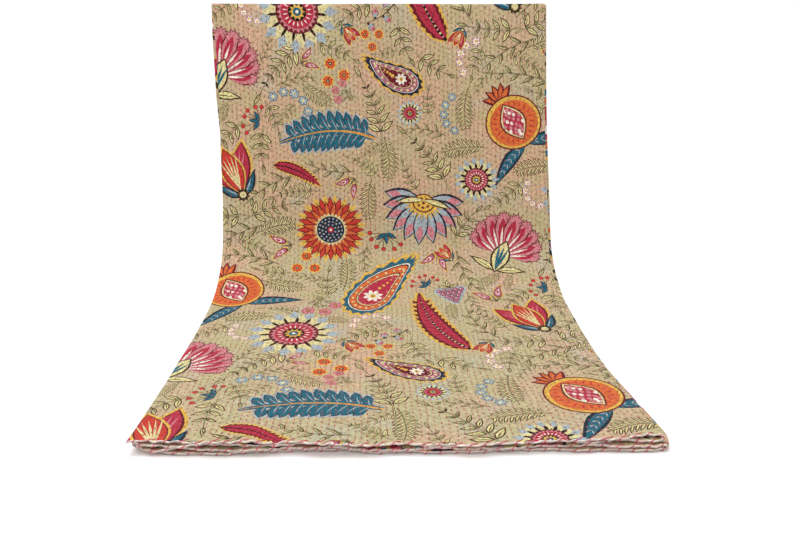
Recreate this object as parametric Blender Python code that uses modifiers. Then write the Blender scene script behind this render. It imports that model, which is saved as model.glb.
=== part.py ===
"""Kantha quilt: one printed, hand-stitched cloth, folded lengthwise into four layers.

The folded stack hangs from its top edge, sweeps forward in a soft bend and lies flat at the front, where
the four layers of the end hem show. +X is across the stack, +Y runs back from the front hem and +Z is up.
The surface that the front part lies on is z = 0.
"""

import math

import bmesh
import bpy
import numpy as np

# Driving dimensions, in metres.
FOLDED_WIDTH = 0.572         # a quarter of a queen-size quilt that is 90 inches wide
CLOTH_THICKNESS = 0.0022     # two cotton faces with a thin layer of cloth between them
SWEEP_LENGTH = 0.954         # from the front hem to the top edge, along the lowest layer
LAYER_COLUMNS = 8            # grid columns across one layer
FOLD_COLUMNS = 6             # grid columns round one side fold
CORNER_REACH = 0.030         # the side folds draw in over this distance from the front hem
EVEN_GAP = 0.0038            # distance between the middles of two layers, where they lie evenly
EVENING_OUT = 0.300          # distance from the front hem at which the gaps have half evened out
RIPPLE_HEIGHT = 0.0016       # soft swells of the hanging stretch, which all the layers share
RIPPLE_ACROSS = 0.31
RIPPLE_ALONG = 0.42

# The line that the lowest layer follows, from the front hem back and up to the top edge.
SWEEP_COLUMNS = ("distance", "slope_degrees", "sideways_drift", "grid_rows")
SWEEP = (
    # the stretch that lies flat, from the front hem
    (0.000, 0.0, 0.001, 2),
    (0.030, 0.0, 0.000, 3),
    (0.140, 0.0, -0.007, 2),
    # the long, shallow rise
    (0.210, 3.0, -0.012, 2),
    (0.292, 7.0, -0.014, 3),
    (0.372, 10.0, -0.016, 2),
    # the soft bend
    (0.408, 14.0, -0.018, 2),
    (0.436, 26.0, -0.019, 3),
    (0.489, 38.0, -0.021, 2),
    (0.516, 50.0, -0.022, 3),
    (0.556, 72.0, -0.023, 2),
    # the hanging stretch, up to the top edge
    (0.617, 75.0, -0.024, 4),
    (0.778, 81.0, -0.030, 4),
    (SWEEP_LENGTH, 83.0, -0.035, 0),
)

# Distance between the middles of neighbouring layers at the front hem, by share of the width.
GAP_COLUMNS = ("across", "first_to_second", "second_to_third", "third_to_fourth")
GAPS = (
    (0.00, 0.0042, 0.0062, 0.0040),
    (0.20, 0.0050, 0.0056, 0.0048),
    (0.48, 0.0030, 0.0031, 0.0030),
    (0.66, 0.0031, 0.0031, 0.0031),
    (0.86, 0.0048, 0.0036, 0.0046),
    (1.00, 0.0060, 0.0040, 0.0058),
)

# Each layer from the top one down: its two ends at the front hem and at the top edge, how far its hem is
# set back from the foremost one, and how far its ends draw in at the corners of the hem.
LAYER_COLUMNS_NAMES = (
    "left_at_hem", "right_at_hem", "left_at_top", "right_at_top",
    "hem_left", "hem_middle", "hem_right", "corner_left", "corner_right",
)
LAYERS = (
    (0.000, 0.563, 0.000, 0.566, 0.000, 0.001, 0.007, 0.000, 0.003),
    (0.004, 0.563, 0.004, 0.566, 0.003, 0.000, 0.005, 0.003, 0.003),
    (0.004, 0.573, 0.004, 0.570, 0.004, 0.003, 0.003, 0.003, 0.009),
    (0.012, 0.573, 0.007, 0.570, 0.007, 0.001, 0.000, 0.006, 0.009),
)


def layer_value(layer, name):
    """One named value of a layer."""
    return LAYERS[layer][LAYER_COLUMNS_NAMES.index(name)]


def sweep_point(distance):
    """Depth, height, slope in radians and drift at a distance from the front hem."""
    depth, height = 0.0, 0.0
    for (start, slope, drift, _), (end, next_slope, next_drift, _) in zip(SWEEP, SWEEP[1:]):
        share = min(1.0, (distance - start) / (end - start))
        first, last = math.radians(slope), math.radians(slope + (next_slope - slope) * share)
        half_turn = (last - first) / 2
        chord = (end - start) * share * (math.sin(half_turn) / half_turn if half_turn else 1.0)
        depth += chord * math.cos(first + half_turn)
        height += chord * math.sin(first + half_turn)
        if distance <= end:
            break
    return depth, height, last, drift + (next_drift - drift) * share


def sweep_stations():
    """Distances of the grid rows, closer together where the stack bends."""
    stations = [0.0]
    for (start, _, _, rows), (end, _, _, _) in zip(SWEEP, SWEEP[1:]):
        stations += [start + (end - start) * (row + 1) / rows for row in range(rows)]
    return stations


def layer_height(layer, across, distance):
    """Height of a layer's middle over the surface of the stack's underside."""
    places = [row[0] for row in GAPS]
    unevenness = 1 - 0.5 * min(1.0, distance / EVENING_OUT)
    height = CLOTH_THICKNESS / 2
    for gap in range(layer, len(LAYERS) - 1):
        at_hem = float(np.interp(across, places, [row[gap + 1] for row in GAPS]))
        height += EVEN_GAP + (at_hem - EVEN_GAP) * unevenness
    return height


def layer_end(layer, side, distance):
    """Distance of a layer's left or right end from the left side of the stack."""
    share = distance / SWEEP_LENGTH
    end = layer_value(layer, f"{side}_at_hem") * (1 - share) + layer_value(layer, f"{side}_at_top") * share
    drawn_in = layer_value(layer, f"corner_{side}") * max(0.0, 1 - distance / CORNER_REACH) ** 2
    return end + drawn_in if side == "left" else end - drawn_in


def hem_set_back(layer, across):
    """How far a layer's front hem lies behind the foremost hem."""
    hem = [layer_value(layer, f"hem_{place}") for place in ("left", "middle", "right")]
    return float(np.interp(across, (0.0, 0.5, 1.0), hem))


def folded_section():
    """Points across the cloth, back and forth from the top layer's left hem to the lowest layer's.

    Each point is a layer and the share of that layer's width that lies to its left, or, on a side
    fold, the layer above the fold, None for the share and the part of the fold that is already turned.
    """
    points = []
    for layer in range(len(LAYERS)):
        steps = [step / LAYER_COLUMNS for step in range(LAYER_COLUMNS + 1)]
        points += [(layer, share if layer % 2 == 0 else 1 - share, None) for share in steps]
        if layer + 1 < len(LAYERS):
            points += [(layer, None, turn / FOLD_COLUMNS) for turn in range(1, FOLD_COLUMNS)]
    return points


def stack_point(layer, share, turned, distance):
    """Distance from the left, height in the stack and hem set-back of a point of the section."""
    if turned is None:
        left, right = layer_end(layer, "left", distance), layer_end(layer, "right", distance)
        x = left + (right - left) * share
        across = x / FOLDED_WIDTH
        return x, layer_height(layer, across, distance), hem_set_back(layer, across)
    side, outward = ("right", 1) if layer % 2 == 0 else ("left", -1)
    end = layer_end(layer, side, distance)
    across = end / FOLDED_WIDTH
    upper, lower = layer_height(layer, across, distance), layer_height(layer + 1, across, distance)
    radius = (upper - lower) / 2
    set_back = hem_set_back(layer, across) * (1 - turned) + hem_set_back(layer + 1, across) * turned
    x = end + outward * radius * math.sin(math.pi * turned)
    return x, (upper + lower) / 2 + radius * math.cos(math.pi * turned), set_back


def draped(section_point, distance):
    """Place of a point of the folded section at a distance from the foremost hem."""
    x, height, set_back = stack_point(*section_point, distance)
    along = set_back + distance * (1 - set_back / SWEEP_LENGTH)
    depth, rise, slope, drift = sweep_point(along)
    ripple = math.sin(math.tau * (x / RIPPLE_ACROSS + along / RIPPLE_ALONG))
    height += RIPPLE_HEIGHT * ripple * math.sin(slope) ** 2
    return (
        x - FOLDED_WIDTH / 2 + drift,
        depth - height * math.sin(slope),
        rise + height * math.cos(slope),
    )


def cotton():
    """Tan cotton, the colour of the quilt's ground."""
    material = bpy.data.materials.new("quilted_cotton")
    material.use_nodes = True
    tan = (0.60, 0.47, 0.28, 1.0)
    shader = material.node_tree.nodes["Principled BSDF"]
    shader.inputs["Base Color"].default_value = tan
    shader.inputs["Roughness"].default_value = 0.9
    shader.inputs["Metallic"].default_value = 0.0
    material.diffuse_color = tan
    return material


def folded_cloth():
    """The folded and draped cloth: a flat grid moved into its folds, then given its thickness."""
    section = folded_section()
    stations = sweep_stations()
    mesh = bpy.data.meshes.new("quilt")
    grid = bmesh.new()
    last_column, last_row = len(section) - 1, len(stations) - 1
    bmesh.ops.create_grid(grid, x_segments=last_column, y_segments=last_row, size=1.0)
    for vertex in grid.verts:
        section_point = section[round((vertex.co.x + 1) / 2 * last_column)]
        distance = stations[round((vertex.co.y + 1) / 2 * last_row)]
        vertex.co = draped(section_point, distance)
    grid.to_mesh(mesh)
    grid.free()
    quilt = bpy.data.objects.new("quilt", mesh)
    thickness = quilt.modifiers.new("thickness", "SOLIDIFY")
    thickness.thickness = CLOTH_THICKNESS
    thickness.offset = 0.0
    mesh.materials.append(cotton())
    return quilt


def centre_underside_on_origin(quilt):
    """Move the cloth so that the middle of its box's underside is the origin."""
    bpy.context.view_layer.update()
    solid = quilt.evaluated_get(bpy.context.evaluated_depsgraph_get()).data
    corners = np.array([vertex.co for vertex in solid.vertices])
    low, high = corners.min(axis=0), corners.max(axis=0)
    shift = np.array([-(low[0] + high[0]) / 2, -(low[1] + high[1]) / 2, -low[2]])
    for vertex in quilt.data.vertices:
        vertex.co = np.array(vertex.co) + shift


for leftover in list(bpy.data.objects):
    bpy.data.objects.remove(leftover, do_unlink=True)

folded_quilt = bpy.data.collections.new("folded_kantha_quilt")
bpy.context.scene.collection.children.link(folded_quilt)
kantha_quilt = folded_cloth()
folded_quilt.objects.link(kantha_quilt)
centre_underside_on_origin(kantha_quilt)
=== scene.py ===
import math

import bmesh
import bpy
import numpy as np
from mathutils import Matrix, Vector
from mathutils.geometry import delaunay_2d_cdt


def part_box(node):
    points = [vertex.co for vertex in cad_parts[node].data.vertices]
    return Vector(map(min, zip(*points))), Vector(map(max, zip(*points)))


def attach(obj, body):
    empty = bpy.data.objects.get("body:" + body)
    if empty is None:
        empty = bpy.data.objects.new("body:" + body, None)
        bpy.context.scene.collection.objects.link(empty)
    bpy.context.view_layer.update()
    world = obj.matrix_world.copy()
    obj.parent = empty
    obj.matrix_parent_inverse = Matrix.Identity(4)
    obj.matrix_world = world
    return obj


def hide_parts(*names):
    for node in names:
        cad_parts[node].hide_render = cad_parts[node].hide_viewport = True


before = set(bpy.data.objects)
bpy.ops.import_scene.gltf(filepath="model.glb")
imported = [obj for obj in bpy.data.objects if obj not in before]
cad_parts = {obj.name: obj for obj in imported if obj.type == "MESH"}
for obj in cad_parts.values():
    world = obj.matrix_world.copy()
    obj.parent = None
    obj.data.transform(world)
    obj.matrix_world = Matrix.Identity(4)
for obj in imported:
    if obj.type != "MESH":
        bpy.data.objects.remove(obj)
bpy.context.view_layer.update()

# ---- Camera
# It stands in front of the quilt, a little above the height of the soft bend, and looks slightly down.
CAMERA_PLACE = (0.016, -0.889, 0.368)
CAMERA_TILT = 74.62          # degrees from looking straight down
CAMERA_LENS, CAMERA_SENSOR = 28.8, 36.0     # millimetres, and the sensor's width
bpy.ops.object.select_all(action="DESELECT")
bpy.ops.object.camera_add(location=CAMERA_PLACE, rotation=(math.radians(CAMERA_TILT), 0.0, 0.0))
camera = bpy.context.object
camera.data.lens = CAMERA_LENS
camera.data.sensor_width = CAMERA_SENSOR
camera.data.clip_start = 0.01
bpy.context.scene.camera = camera
bpy.context.scene.view_settings.view_transform = "Standard"

# ---- The print
# The cloth is block-printed cotton: flowers, fruit, curled drops and leaf sprays of a traditional kind, in
# one repeat that steps up by half its height from one column to the next. Sizes here are in millimetres
# on the flat cloth, x across it and y up from the front hem.
REPEAT_ACROSS, REPEAT_ALONG = 480.0, 640.0
INKS = {
    "crimson": (168, 40, 64), "wine": (94, 18, 30), "scarlet": (186, 54, 42), "orange": (200, 100, 50),
    "gold": (208, 168, 74), "straw": (206, 196, 144), "teal": (26, 92, 110), "ink_blue": (24, 38, 54),
    "mist": (154, 168, 174), "mauve": (168, 98, 122), "rose": (192, 122, 128), "black": (20, 14, 16),
    "cream": (226, 218, 204), "olive": (48, 40, 22), "leaf": (210, 200, 142),
}


def turned(points, degrees):
    """Points turned about the origin."""
    angle = math.radians(degrees)
    cos, sin = math.cos(angle), math.sin(angle)
    return np.asarray(points) @ np.array([[cos, sin], [-sin, cos]])


def disc(x, y, radius, corners=12, squash=1.0):
    """A round spot, lower or higher than it is wide where squash isn't 1."""
    angles = np.linspace(0, math.tau, corners, endpoint=False)
    return np.c_[x + radius * np.cos(angles), y + radius * squash * np.sin(angles)]


def star(x, y, outer, inner, spikes, turn=0.0):
    """A disc with a toothed edge."""
    angles = np.linspace(0, math.tau, 2 * spikes, endpoint=False) + math.radians(turn)
    radii = np.where(np.arange(2 * spikes) % 2 == 0, outer, inner)
    return np.c_[x + radii * np.cos(angles), y + radii * np.sin(angles)]


def petal(x, y, turn, length, width, fullness=1.0, bend=0.0, steps=5):
    """A petal or leaf from its base point. fullness moves its widest place, over 1 towards the tip."""
    t = np.linspace(0, 1, steps + 1)
    half = width / 2 * np.sin(np.pi * t**fullness)
    middle = bend * length * t**2
    right = np.c_[middle + half, length * t]
    left = np.c_[middle - half, length * t][-2:0:-1]
    return turned(np.vstack([right, left]), turn) + (x, y)


def curve(length, bend, steps):
    """A line from the origin up +y that bends to one side."""
    t = np.linspace(0, 1, steps + 1)
    return np.c_[bend * length * t**2, length * t]


def sides(line, widths):
    """A ribbon along a line."""
    step = np.gradient(line, axis=0)
    normal = np.c_[-step[:, 1], step[:, 0]] / np.linalg.norm(step, axis=1)[:, None]
    half = np.asarray(widths)[:, None] / 2
    return np.vstack([line + normal * half, (line - normal * half)[::-1]])


def at(line, share):
    """Place on a line and its direction in degrees from +y."""
    index = share * (len(line) - 1)
    low = min(int(index), len(line) - 2)
    place = line[low] + (line[low + 1] - line[low]) * (index - low)
    run = line[low + 1] - line[low]
    return place, -math.degrees(math.atan2(run[0], run[1]))


class Drawing(list):
    """Shapes of the print, each an ink and its outline, the later ones on top of the earlier."""

    def add(self, ink, points):
        """Adds a shape."""
        self.append((ink, np.asarray(points, float)))

    def place(self, other, x, y, turn, size, mirrored=False):
        """Adds another drawing, sized, turned and moved."""
        for ink, points in other:
            sized = points * (size * (-1 if mirrored else 1), size)
            self.append((ink, turned(sized, turn) + (x, y)))


def leaflet(d, x, y, turn, length, width, bend=0.0):
    """A pale leaf with a dark outline and midrib."""
    d.add("olive", petal(x, y, turn, length, width, 0.85, bend, 4))
    base = turned([(0, length * 0.10)], turn)[0]
    d.add("leaf", petal(x + base[0], y + base[1], turn, length * 0.78, width - 2.6, 0.85, bend, 3))
    d.add("olive", petal(x, y, turn, length * 0.80, 1.5, 0.6, bend, 2))


def stem(d, length, bend, width=2.4):
    """A pale stem with dark sides. Returns its line."""
    line = curve(length, bend, 7)
    d.add("olive", sides(line, np.linspace(width, 1.0, len(line))))
    d.add("leaf", sides(line, np.linspace(width - 1.5, 0.1, len(line))))
    return line


def leafy_spray(length=78, pairs=4, leaf_length=22, leaf_width=8.5, bend=0.22):
    """A bending stem with pairs of broad leaves."""
    d = Drawing()
    line = stem(d, length, bend)
    for pair in range(pairs):
        place, heading = at(line, 0.2 + 0.72 * pair / pairs)
        size = 1.0 - 0.13 * pair
        for side in (-1, 1):
            leaflet(d, *place, heading - side * 48, leaf_length * size, leaf_width * size, 0.12 * side)
    place, heading = at(line, 0.95)
    leaflet(d, *place, heading, leaf_length * 0.8, leaf_width * 0.7)
    return d


def fern(length=62, pairs=9, bend=-0.3):
    """A feathery frond of many thin leaflets."""
    d = Drawing()
    line = stem(d, length, bend, 1.8)
    for pair in range(pairs):
        place, heading = at(line, 0.12 + 0.84 * pair / pairs)
        size = math.sin(math.pi * (0.22 + 0.68 * pair / pairs))
        for side in (-1, 1):
            d.add("olive", petal(*place, heading - side * 50, 17 * size, 4.4, 0.9, 0.1 * side, steps=3))
            d.add("leaf", petal(*place, heading - side * 50, 14.5 * size, 2.0, 0.9, 0.1 * side, steps=3))
    return d


def willow(length=70, leaves=6, bend=0.35):
    """A trailing stem with narrow leaves on its outer side."""
    d = Drawing()
    line = stem(d, length, bend, 2.0)
    for leaf in range(leaves):
        place, heading = at(line, 0.1 + 0.85 * leaf / leaves)
        side = -1 if leaf % 2 else 1
        leaflet(d, *place, heading - side * 34, 24 - 1.6 * leaf, 5.6, 0.16 * side)
    return d


def rosette(radius=52):
    """A round flower with toothed rings and a rayed middle."""
    d = Drawing()
    d.add("mist", star(0, 0, radius * 1.08, radius * 0.80, 15))
    d.add("straw", star(0, 0, radius * 0.93, radius * 0.70, 15, 12))
    for n in range(15):
        a = 24 * n
        base = turned([(0, radius * 0.46)], a)[0]
        d.add("black", petal(*base, a, radius * 0.34, 4.4, 1.0, steps=3))
    d.add("wine", disc(0, 0, radius * 0.56, 26))
    d.add("rose", star(0, 0, radius * 0.53, radius * 0.44, 24))
    d.add("crimson", disc(0, 0, radius * 0.43, 24))
    for n in range(18):
        a = 20 * n
        base = turned([(0, radius * 0.24)], a)[0]
        d.add("cream", petal(*base, a, radius * 0.15, 1.9, 1.2, steps=2))
    d.add("black", disc(0, 0, radius * 0.24, 16))
    d.add("gold", star(0, 0, radius * 0.22, radius * 0.14, 10))
    d.add("teal", disc(0, 0, radius * 0.11, 10))
    d.add("cream", disc(0, 0, radius * 0.045, 6))
    return d


def pomegranate(size=50):
    """A ripe fruit split open over its seeds, with a crown above and two leaves at its sides."""
    d = Drawing()
    for side in (-1, 1):
        leaf = (0, -size * 0.62, side * 96, size * 1.3, size * 0.36, 0.8, -0.30 * side)
        d.add("ink_blue", petal(*leaf, 7))
        d.add("teal", petal(0, -size * 0.62, side * 96, size * 1.2, size * 0.24, 0.8, -0.30 * side, 7))
        for n in range(5):
            line = turned(curve(size * 1.2, -0.30 * side, 6), side * 96) + (0, -size * 0.62)
            place, heading = at(line, 0.18 + 0.13 * n)
            for way in (-1, 1):
                d.add("mist", petal(*place, heading - way * 34, size * 0.13, 1.5, 1.0, steps=2))
    for n in range(-2, 3):
        d.add("wine", petal(0, size * 0.55, -24 * n, size * 0.50, size * 0.20, 0.9, 0.05 * n, 4))
        d.add("orange", petal(0, size * 0.57, -24 * n, size * 0.42, size * 0.12, 0.9, 0.05 * n, 4))
    d.add("wine", disc(0, 0, size * 0.70, 28, 0.96))
    d.add("gold", disc(0, 0, size * 0.665, 28, 0.96))
    d.add("orange", disc(0, -size * 0.02, size * 0.60, 26, 0.94))
    for n in range(22):
        place = turned([(0, size * 0.53)], 360 / 22 * n)[0]
        d.add("scarlet", petal(*place, 180 + 360 / 22 * n, size * 0.14, 2.6, 1.0, steps=2))
    split = petal(0, -size * 0.50, 0, size * 1.02, size * 0.66, 1.0, 0, 9)
    d.add("wine", split)
    d.add("straw", petal(0, -size * 0.46, 0, size * 0.94, size * 0.58, 1.0, 0, 9))
    d.add("crimson", petal(0, -size * 0.42, 0, size * 0.86, size * 0.50, 1.0, 0, 9))
    for row in range(-4, 5):
        width = size * 0.19 * math.cos(row * 0.36)
        for spot in (-1, 0, 1):
            x = spot * width * 0.95 + (row % 2 - 0.5) * width * 0.5
            ink = "rose" if (row + spot) % 3 else "cream"
            d.add(ink, disc(x, row * size * 0.083, size * 0.042, 6, 1.25))
    return d


def teardrop(scale_x, scale_y, curl=0.30, steps=22):
    """Outline of a curled drop, round below and drawn to a hooked tip above."""
    t = np.linspace(0, 1, steps, endpoint=False) * math.tau
    y = -np.cos(t)
    x = np.sin(t) * (1 - 0.62 * ((y + 1) / 2) ** 1.1)
    hook = curl * np.maximum(0.0, (y + 0.1)) ** 2.0
    return np.c_[(x + hook) * scale_x, y * scale_y]


def paisley(length=66, outer="teal", band="orange", heart="crimson", steps=44):
    """A curled drop with a fringe, a toothed border, a dotted band and a small plant inside."""
    d = Drawing()
    edge = teardrop(length * 0.56, length, 0.42, steps=steps)
    middle = np.array([length * 0.03, -length * 0.22])
    fringe = edge.copy()
    outward = edge - middle
    fringe[::2] = middle + outward[::2] * 1.17
    fringe[1::2] = middle + outward[1::2] * 1.04
    d.add("gold", fringe)
    teeth = edge.copy()
    teeth[::2] = middle + outward[::2] * 1.05
    teeth[1::2] = middle + outward[1::2] * 0.94
    d.add(outer, teeth)
    d.add("cream", middle + outward * 0.85)
    d.add("black", middle + outward * 0.82)
    d.add(band, middle + outward * 0.79)
    for n in range(0, steps, 2):
        d.add("straw", disc(*(middle + outward[n] * 0.70), 1.8, 6))
        d.add("wine", disc(*(middle + outward[n] * 0.70), 0.75, 4))
    d.add("wine", middle + outward * 0.61)
    d.add("straw", middle + outward * 0.58)
    d.add(heart, middle + outward * 0.54)
    for n in range(0, steps, 3):
        d.add("rose", disc(*(middle + outward[n] * 0.48), 1.1, 5))
    flower = middle + (0, -length * 0.08)
    for n in range(8):
        d.add("cream", petal(*flower, 45 * n, length * 0.2, length * 0.09, 1.2, steps=4))
    d.add("gold", disc(*flower, length * 0.065, 10))
    d.add("black", disc(*flower, length * 0.025, 6))
    for n in range(4):
        bead = middle + (length * 0.03 * n, length * (0.2 + 0.1 * n))
        d.add("gold", disc(*bead, 2.4 - 0.4 * n, 7))
    return d


def saz_leaf(length=136, bend=0.42):
    """A long curved leaf with a saw edge, a golden rim and a garland along its middle."""
    d = Drawing()
    line = curve(length, bend, 16)
    t = np.linspace(0, 1, 17)
    body = 30 * np.sin(np.pi * t**0.75) ** 0.85 + 0.5
    for ink, grow, tooth_length in (("gold", 8.0, 15.0), ("wine", 1.0, 10.0)):
        for tooth in range(13):
            share = 0.08 + 0.84 * tooth / 13
            place, heading = at(line, share)
            width = np.interp(share, t, body) / 2
            for side in (-1, 1):
                base = place + turned([(side * width * 0.72, 0)], heading)[0]
                d.add(ink, petal(*base, heading - side * 44, tooth_length, grow * 0.5 + 5.5, 0.7, steps=3))
        d.add(ink, sides(line, body + grow))
    d.add("crimson", sides(line, body * 0.80))
    for vein in range(12):
        share = 0.10 + 0.78 * vein / 12
        place, heading = at(line, share)
        width = np.interp(share, t, body) / 2
        for side in (-1, 1):
            d.add("wine", petal(*place, heading - side * 42, width * 0.95, 1.5, 0.8, steps=2))
    d.add("black", sides(line, np.linspace(4.2, 1.0, 17)))
    for bead in range(20):
        place, _ = at(line, 0.05 + 0.86 * bead / 20)
        d.add("straw" if bead % 2 else "rose", disc(*place, 1.7 - 0.04 * bead, 6))
    return d


def carnation(size=60):
    """A fan of saw-edged petals over a long green cup."""
    d = Drawing()
    for n in (-4, 4, -3, 3, -2, 2, -1, 1, 0):
        a = -17 * n
        reach = size * (1.04 - 0.014 * n * n)
        teeth = turned([(0, reach * 0.80)], a)[0]
        d.add("wine", petal(0, 0, a, reach * 0.95, size * 0.34, 2.0, steps=6))
        d.add("wine", star(*teeth, size * 0.185, size * 0.125, 11, a + 90))
        d.add("rose", petal(0, 0, a, reach * 0.90, size * 0.29, 2.0, steps=6))
        d.add("rose", star(*teeth, size * 0.155, size * 0.105, 11, a + 90))
        d.add("crimson", petal(0, 0, a, reach * 0.84, size * 0.17, 1.9, steps=5))
        d.add("cream", petal(0, 0, a, reach * 0.66, size * 0.05, 1.6, steps=3))
    d.add("olive", petal(0, -size * 0.46, 0, size * 0.86, size * 0.40, 1.05, steps=6))
    d.add("leaf", petal(0, -size * 0.42, 0, size * 0.78, size * 0.32, 1.05, steps=6))
    for n in (-1, 0, 1):
        d.add("teal", petal(0, -size * 0.40, -9 * n, size * 0.66, size * 0.06, 1.1, steps=3))
    for side in (-1, 1):
        leaflet(d, 0, -size * 0.40, side * 62, size * 0.62, size * 0.19, -0.18 * side)
    return d


def lotus(size=58):
    """An open lotus seen from the side, with rose-tipped petals round a golden seed pod."""
    d = Drawing()
    for n in (-5, 5, -4, 4, -3, 3, -2, 2, -1, 1, 0):
        reach = size * (1.0 - 0.028 * abs(n))
        a = -19 * n
        d.add("ink_blue", petal(0, 0, a, reach, size * 0.33, 1.15, steps=6))
        d.add("mist", petal(0, size * 0.02, a, reach * 0.94, size * 0.275, 1.15, steps=5))
        tip = turned([(0, reach * 0.56)], a)[0]
        d.add("rose", petal(*tip, a, reach * 0.36, size * 0.15, 0.8, steps=4))
        for side in (-1, 0, 1):
            d.add("teal", petal(0, size * 0.1, a - 5 * side, reach * 0.46, size * 0.018, 1.0, steps=2))
    for n in range(-6, 7):
        d.add("gold", petal(0, -size * 0.02, -14 * n, size * 0.46, size * 0.075, 1.5, steps=3))
    d.add("wine", disc(0, size * 0.06, size * 0.24, 18, 0.85))
    d.add("gold", disc(0, size * 0.06, size * 0.21, 18, 0.85))
    for n in range(7):
        place = turned([(0, size * 0.12)], 360 / 7 * n)[0] * (1, 0.85)
        d.add("wine", disc(place[0], place[1] + size * 0.06, 1.7, 6))
    d.add("wine", disc(0, size * 0.06, 1.8, 6))
    d.add("olive", petal(0, 0, 90, size * 0.62, size * 0.16, 0.9, 0.2, 5))
    d.add("olive", petal(0, 0, -90, size * 0.62, size * 0.16, 0.9, -0.2, 5))
    d.add("leaf", petal(0, 0, 90, size * 0.56, size * 0.10, 0.9, 0.2, 4))
    d.add("leaf", petal(0, 0, -90, size * 0.56, size * 0.10, 0.9, -0.2, 4))
    return d


def sunflower(size=52):
    """Layered golden and orange rays round a dark latticed middle."""
    d = Drawing()
    rays = 20
    for ink, reach, width, shift in (
        ("gold", 1.06, 0.24, 0.5), ("wine", 1.0, 0.20, 0.0), ("scarlet", 0.96, 0.15, 0.0),
        ("wine", 0.86, 0.16, 0.5), ("orange", 0.80, 0.11, 0.5),
    ):
        for n in range(rays):
            a = 360 / rays * (n + shift)
            d.add(ink, petal(0, 0, a, size * reach, size * width, 1.7, steps=4))
    d.add("straw", star(0, 0, size * 0.50, size * 0.42, 26))
    d.add("ink_blue", disc(0, 0, size * 0.40, 24))
    for ring, count in ((0.33, 18), (0.24, 13), (0.15, 8)):
        for n in range(count):
            place = turned([(0, size * ring)], 360 / count * (n + ring * 10))[0]
            d.add("mist", disc(*place, size * 0.030, 5))
    d.add("crimson", disc(0, 0, size * 0.09, 10))
    d.add("cream", disc(0, 0, size * 0.04, 6))
    return d


def tulip(size=60):
    """A closed, striped cup with a golden rim, on dark sepals."""
    d = Drawing()
    for side in (-1, 1):
        d.add("gold", petal(0, 0, -side * 17, size * 1.16, size * 0.50, 1.05, 0.10 * side, 8))
        d.add("wine", petal(0, size * 0.015, -side * 17, size * 1.08, size * 0.42, 1.05, 0.10 * side, 8))
        d.add("crimson", petal(0, size * 0.03, -side * 17, size * 1.04, size * 0.35, 1.05, 0.10 * side, 8))
        for stripe in (-1, 0, 1):
            a = -side * 17 - stripe * 7
            d.add("rose", petal(0, size * 0.12, a, size * 0.80, size * 0.038, 1.1, 0.10 * side, 3))
    d.add("gold", petal(0, 0, 0, size * 1.08, size * 0.50, 0.95, steps=8))
    d.add("wine", petal(0, size * 0.015, 0, size * 1.01, size * 0.43, 0.95, steps=8))
    d.add("scarlet", petal(0, size * 0.03, 0, size * 0.97, size * 0.39, 0.95, steps=8))
    for stripe in (-2, -1, 0, 1, 2):
        d.add("straw", petal(0, size * 0.10, -stripe * 7, size * 0.74, size * 0.036, 1.0, steps=3))
    for side in (-1, 1):
        d.add("ink_blue", petal(0, -2, -side * 62, size * 0.60, size * 0.19, 0.9, -0.30 * side, 5))
        d.add("teal", petal(0, -2, -side * 62, size * 0.52, size * 0.11, 0.9, -0.30 * side, 4))
        d.add("mist", petal(0, -1, -side * 62, size * 0.40, size * 0.03, 0.9, -0.30 * side, 3))
    d.add("olive", star(0, 0, size * 0.15, size * 0.11, 10))
    d.add("straw", disc(0, 0, size * 0.07, 8))
    return d


def acanthus(length=120, bend=-0.5):
    """A curling teal leaf of rounded, veined lobes on a golden rib."""
    d = Drawing()
    line = curve(length, bend, 16)
    for ink, grow in (("mist", 4.0), ("ink_blue", 1.4), ("teal", 0.0)):
        for lobe in range(10):
            share = 0.10 + 0.82 * lobe / 10
            place, heading = at(line, share)
            reach = 30 * math.sin(math.pi * (0.20 + 0.66 * share)) + grow
            for side in (-1, 1):
                d.add(ink, petal(*place, heading - side * 50, reach, 11.5 + grow, 1.35, 0.22 * side, 5))
        d.add(ink, sides(line, 2 + grow + 8 * np.sin(np.pi * np.linspace(0.06, 1, 17)) ** 0.7))
    for lobe in range(10):
        share = 0.10 + 0.82 * lobe / 10
        place, heading = at(line, share)
        reach = 22 * math.sin(math.pi * (0.20 + 0.66 * share))
        for side in (-1, 1):
            d.add("mist", petal(*place, heading - side * 50, reach, 1.3, 1.0, 0.22 * side, 3))
    d.add("gold", sides(line, np.linspace(3.6, 0.8, 17)))
    d.add("orange", sides(line, np.linspace(1.2, 0.3, 17)))
    return d


def marigolds():
    """Three small orange flowers with round petals."""
    d = Drawing()
    for n in range(3):
        centre = turned([(0, 15.5)], 120 * n)[0]
        for ray in range(8):
            spot = turned([(0, 6.6)], 45 * ray)[0] + centre
            d.add("gold", disc(*spot, 3.7, 6))
        for ray in range(8):
            spot = turned([(0, 5.6)], 45 * ray)[0] + centre
            d.add("scarlet", disc(*spot, 2.5, 5))
        d.add("orange", disc(*centre, 5.0, 10))
        d.add("black", disc(*centre, 2.8, 8))
        d.add("straw", disc(*centre, 1.3, 5))
    return d


def grapes():
    """A hanging bunch of mauve grapes in a pale halo, under a small leaf."""
    d = Drawing()
    places = [(8.6 * (n - (4 - row) / 2), -7.4 * row) for row in range(5) for n in range(5 - row)]
    for x, y in places:
        d.add("mist", disc(x, y, 8.0, 8))
    for x, y in places:
        d.add("wine", disc(x, y, 4.5, 8))
        d.add("mauve", disc(x, y, 3.6, 7))
        d.add("cream", disc(x - 1.1, y + 1.2, 1.2, 4))
    for turn in (-70, 0, 70):
        leaflet(d, 0, 6, turn, 18, 8)
    return d


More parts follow.
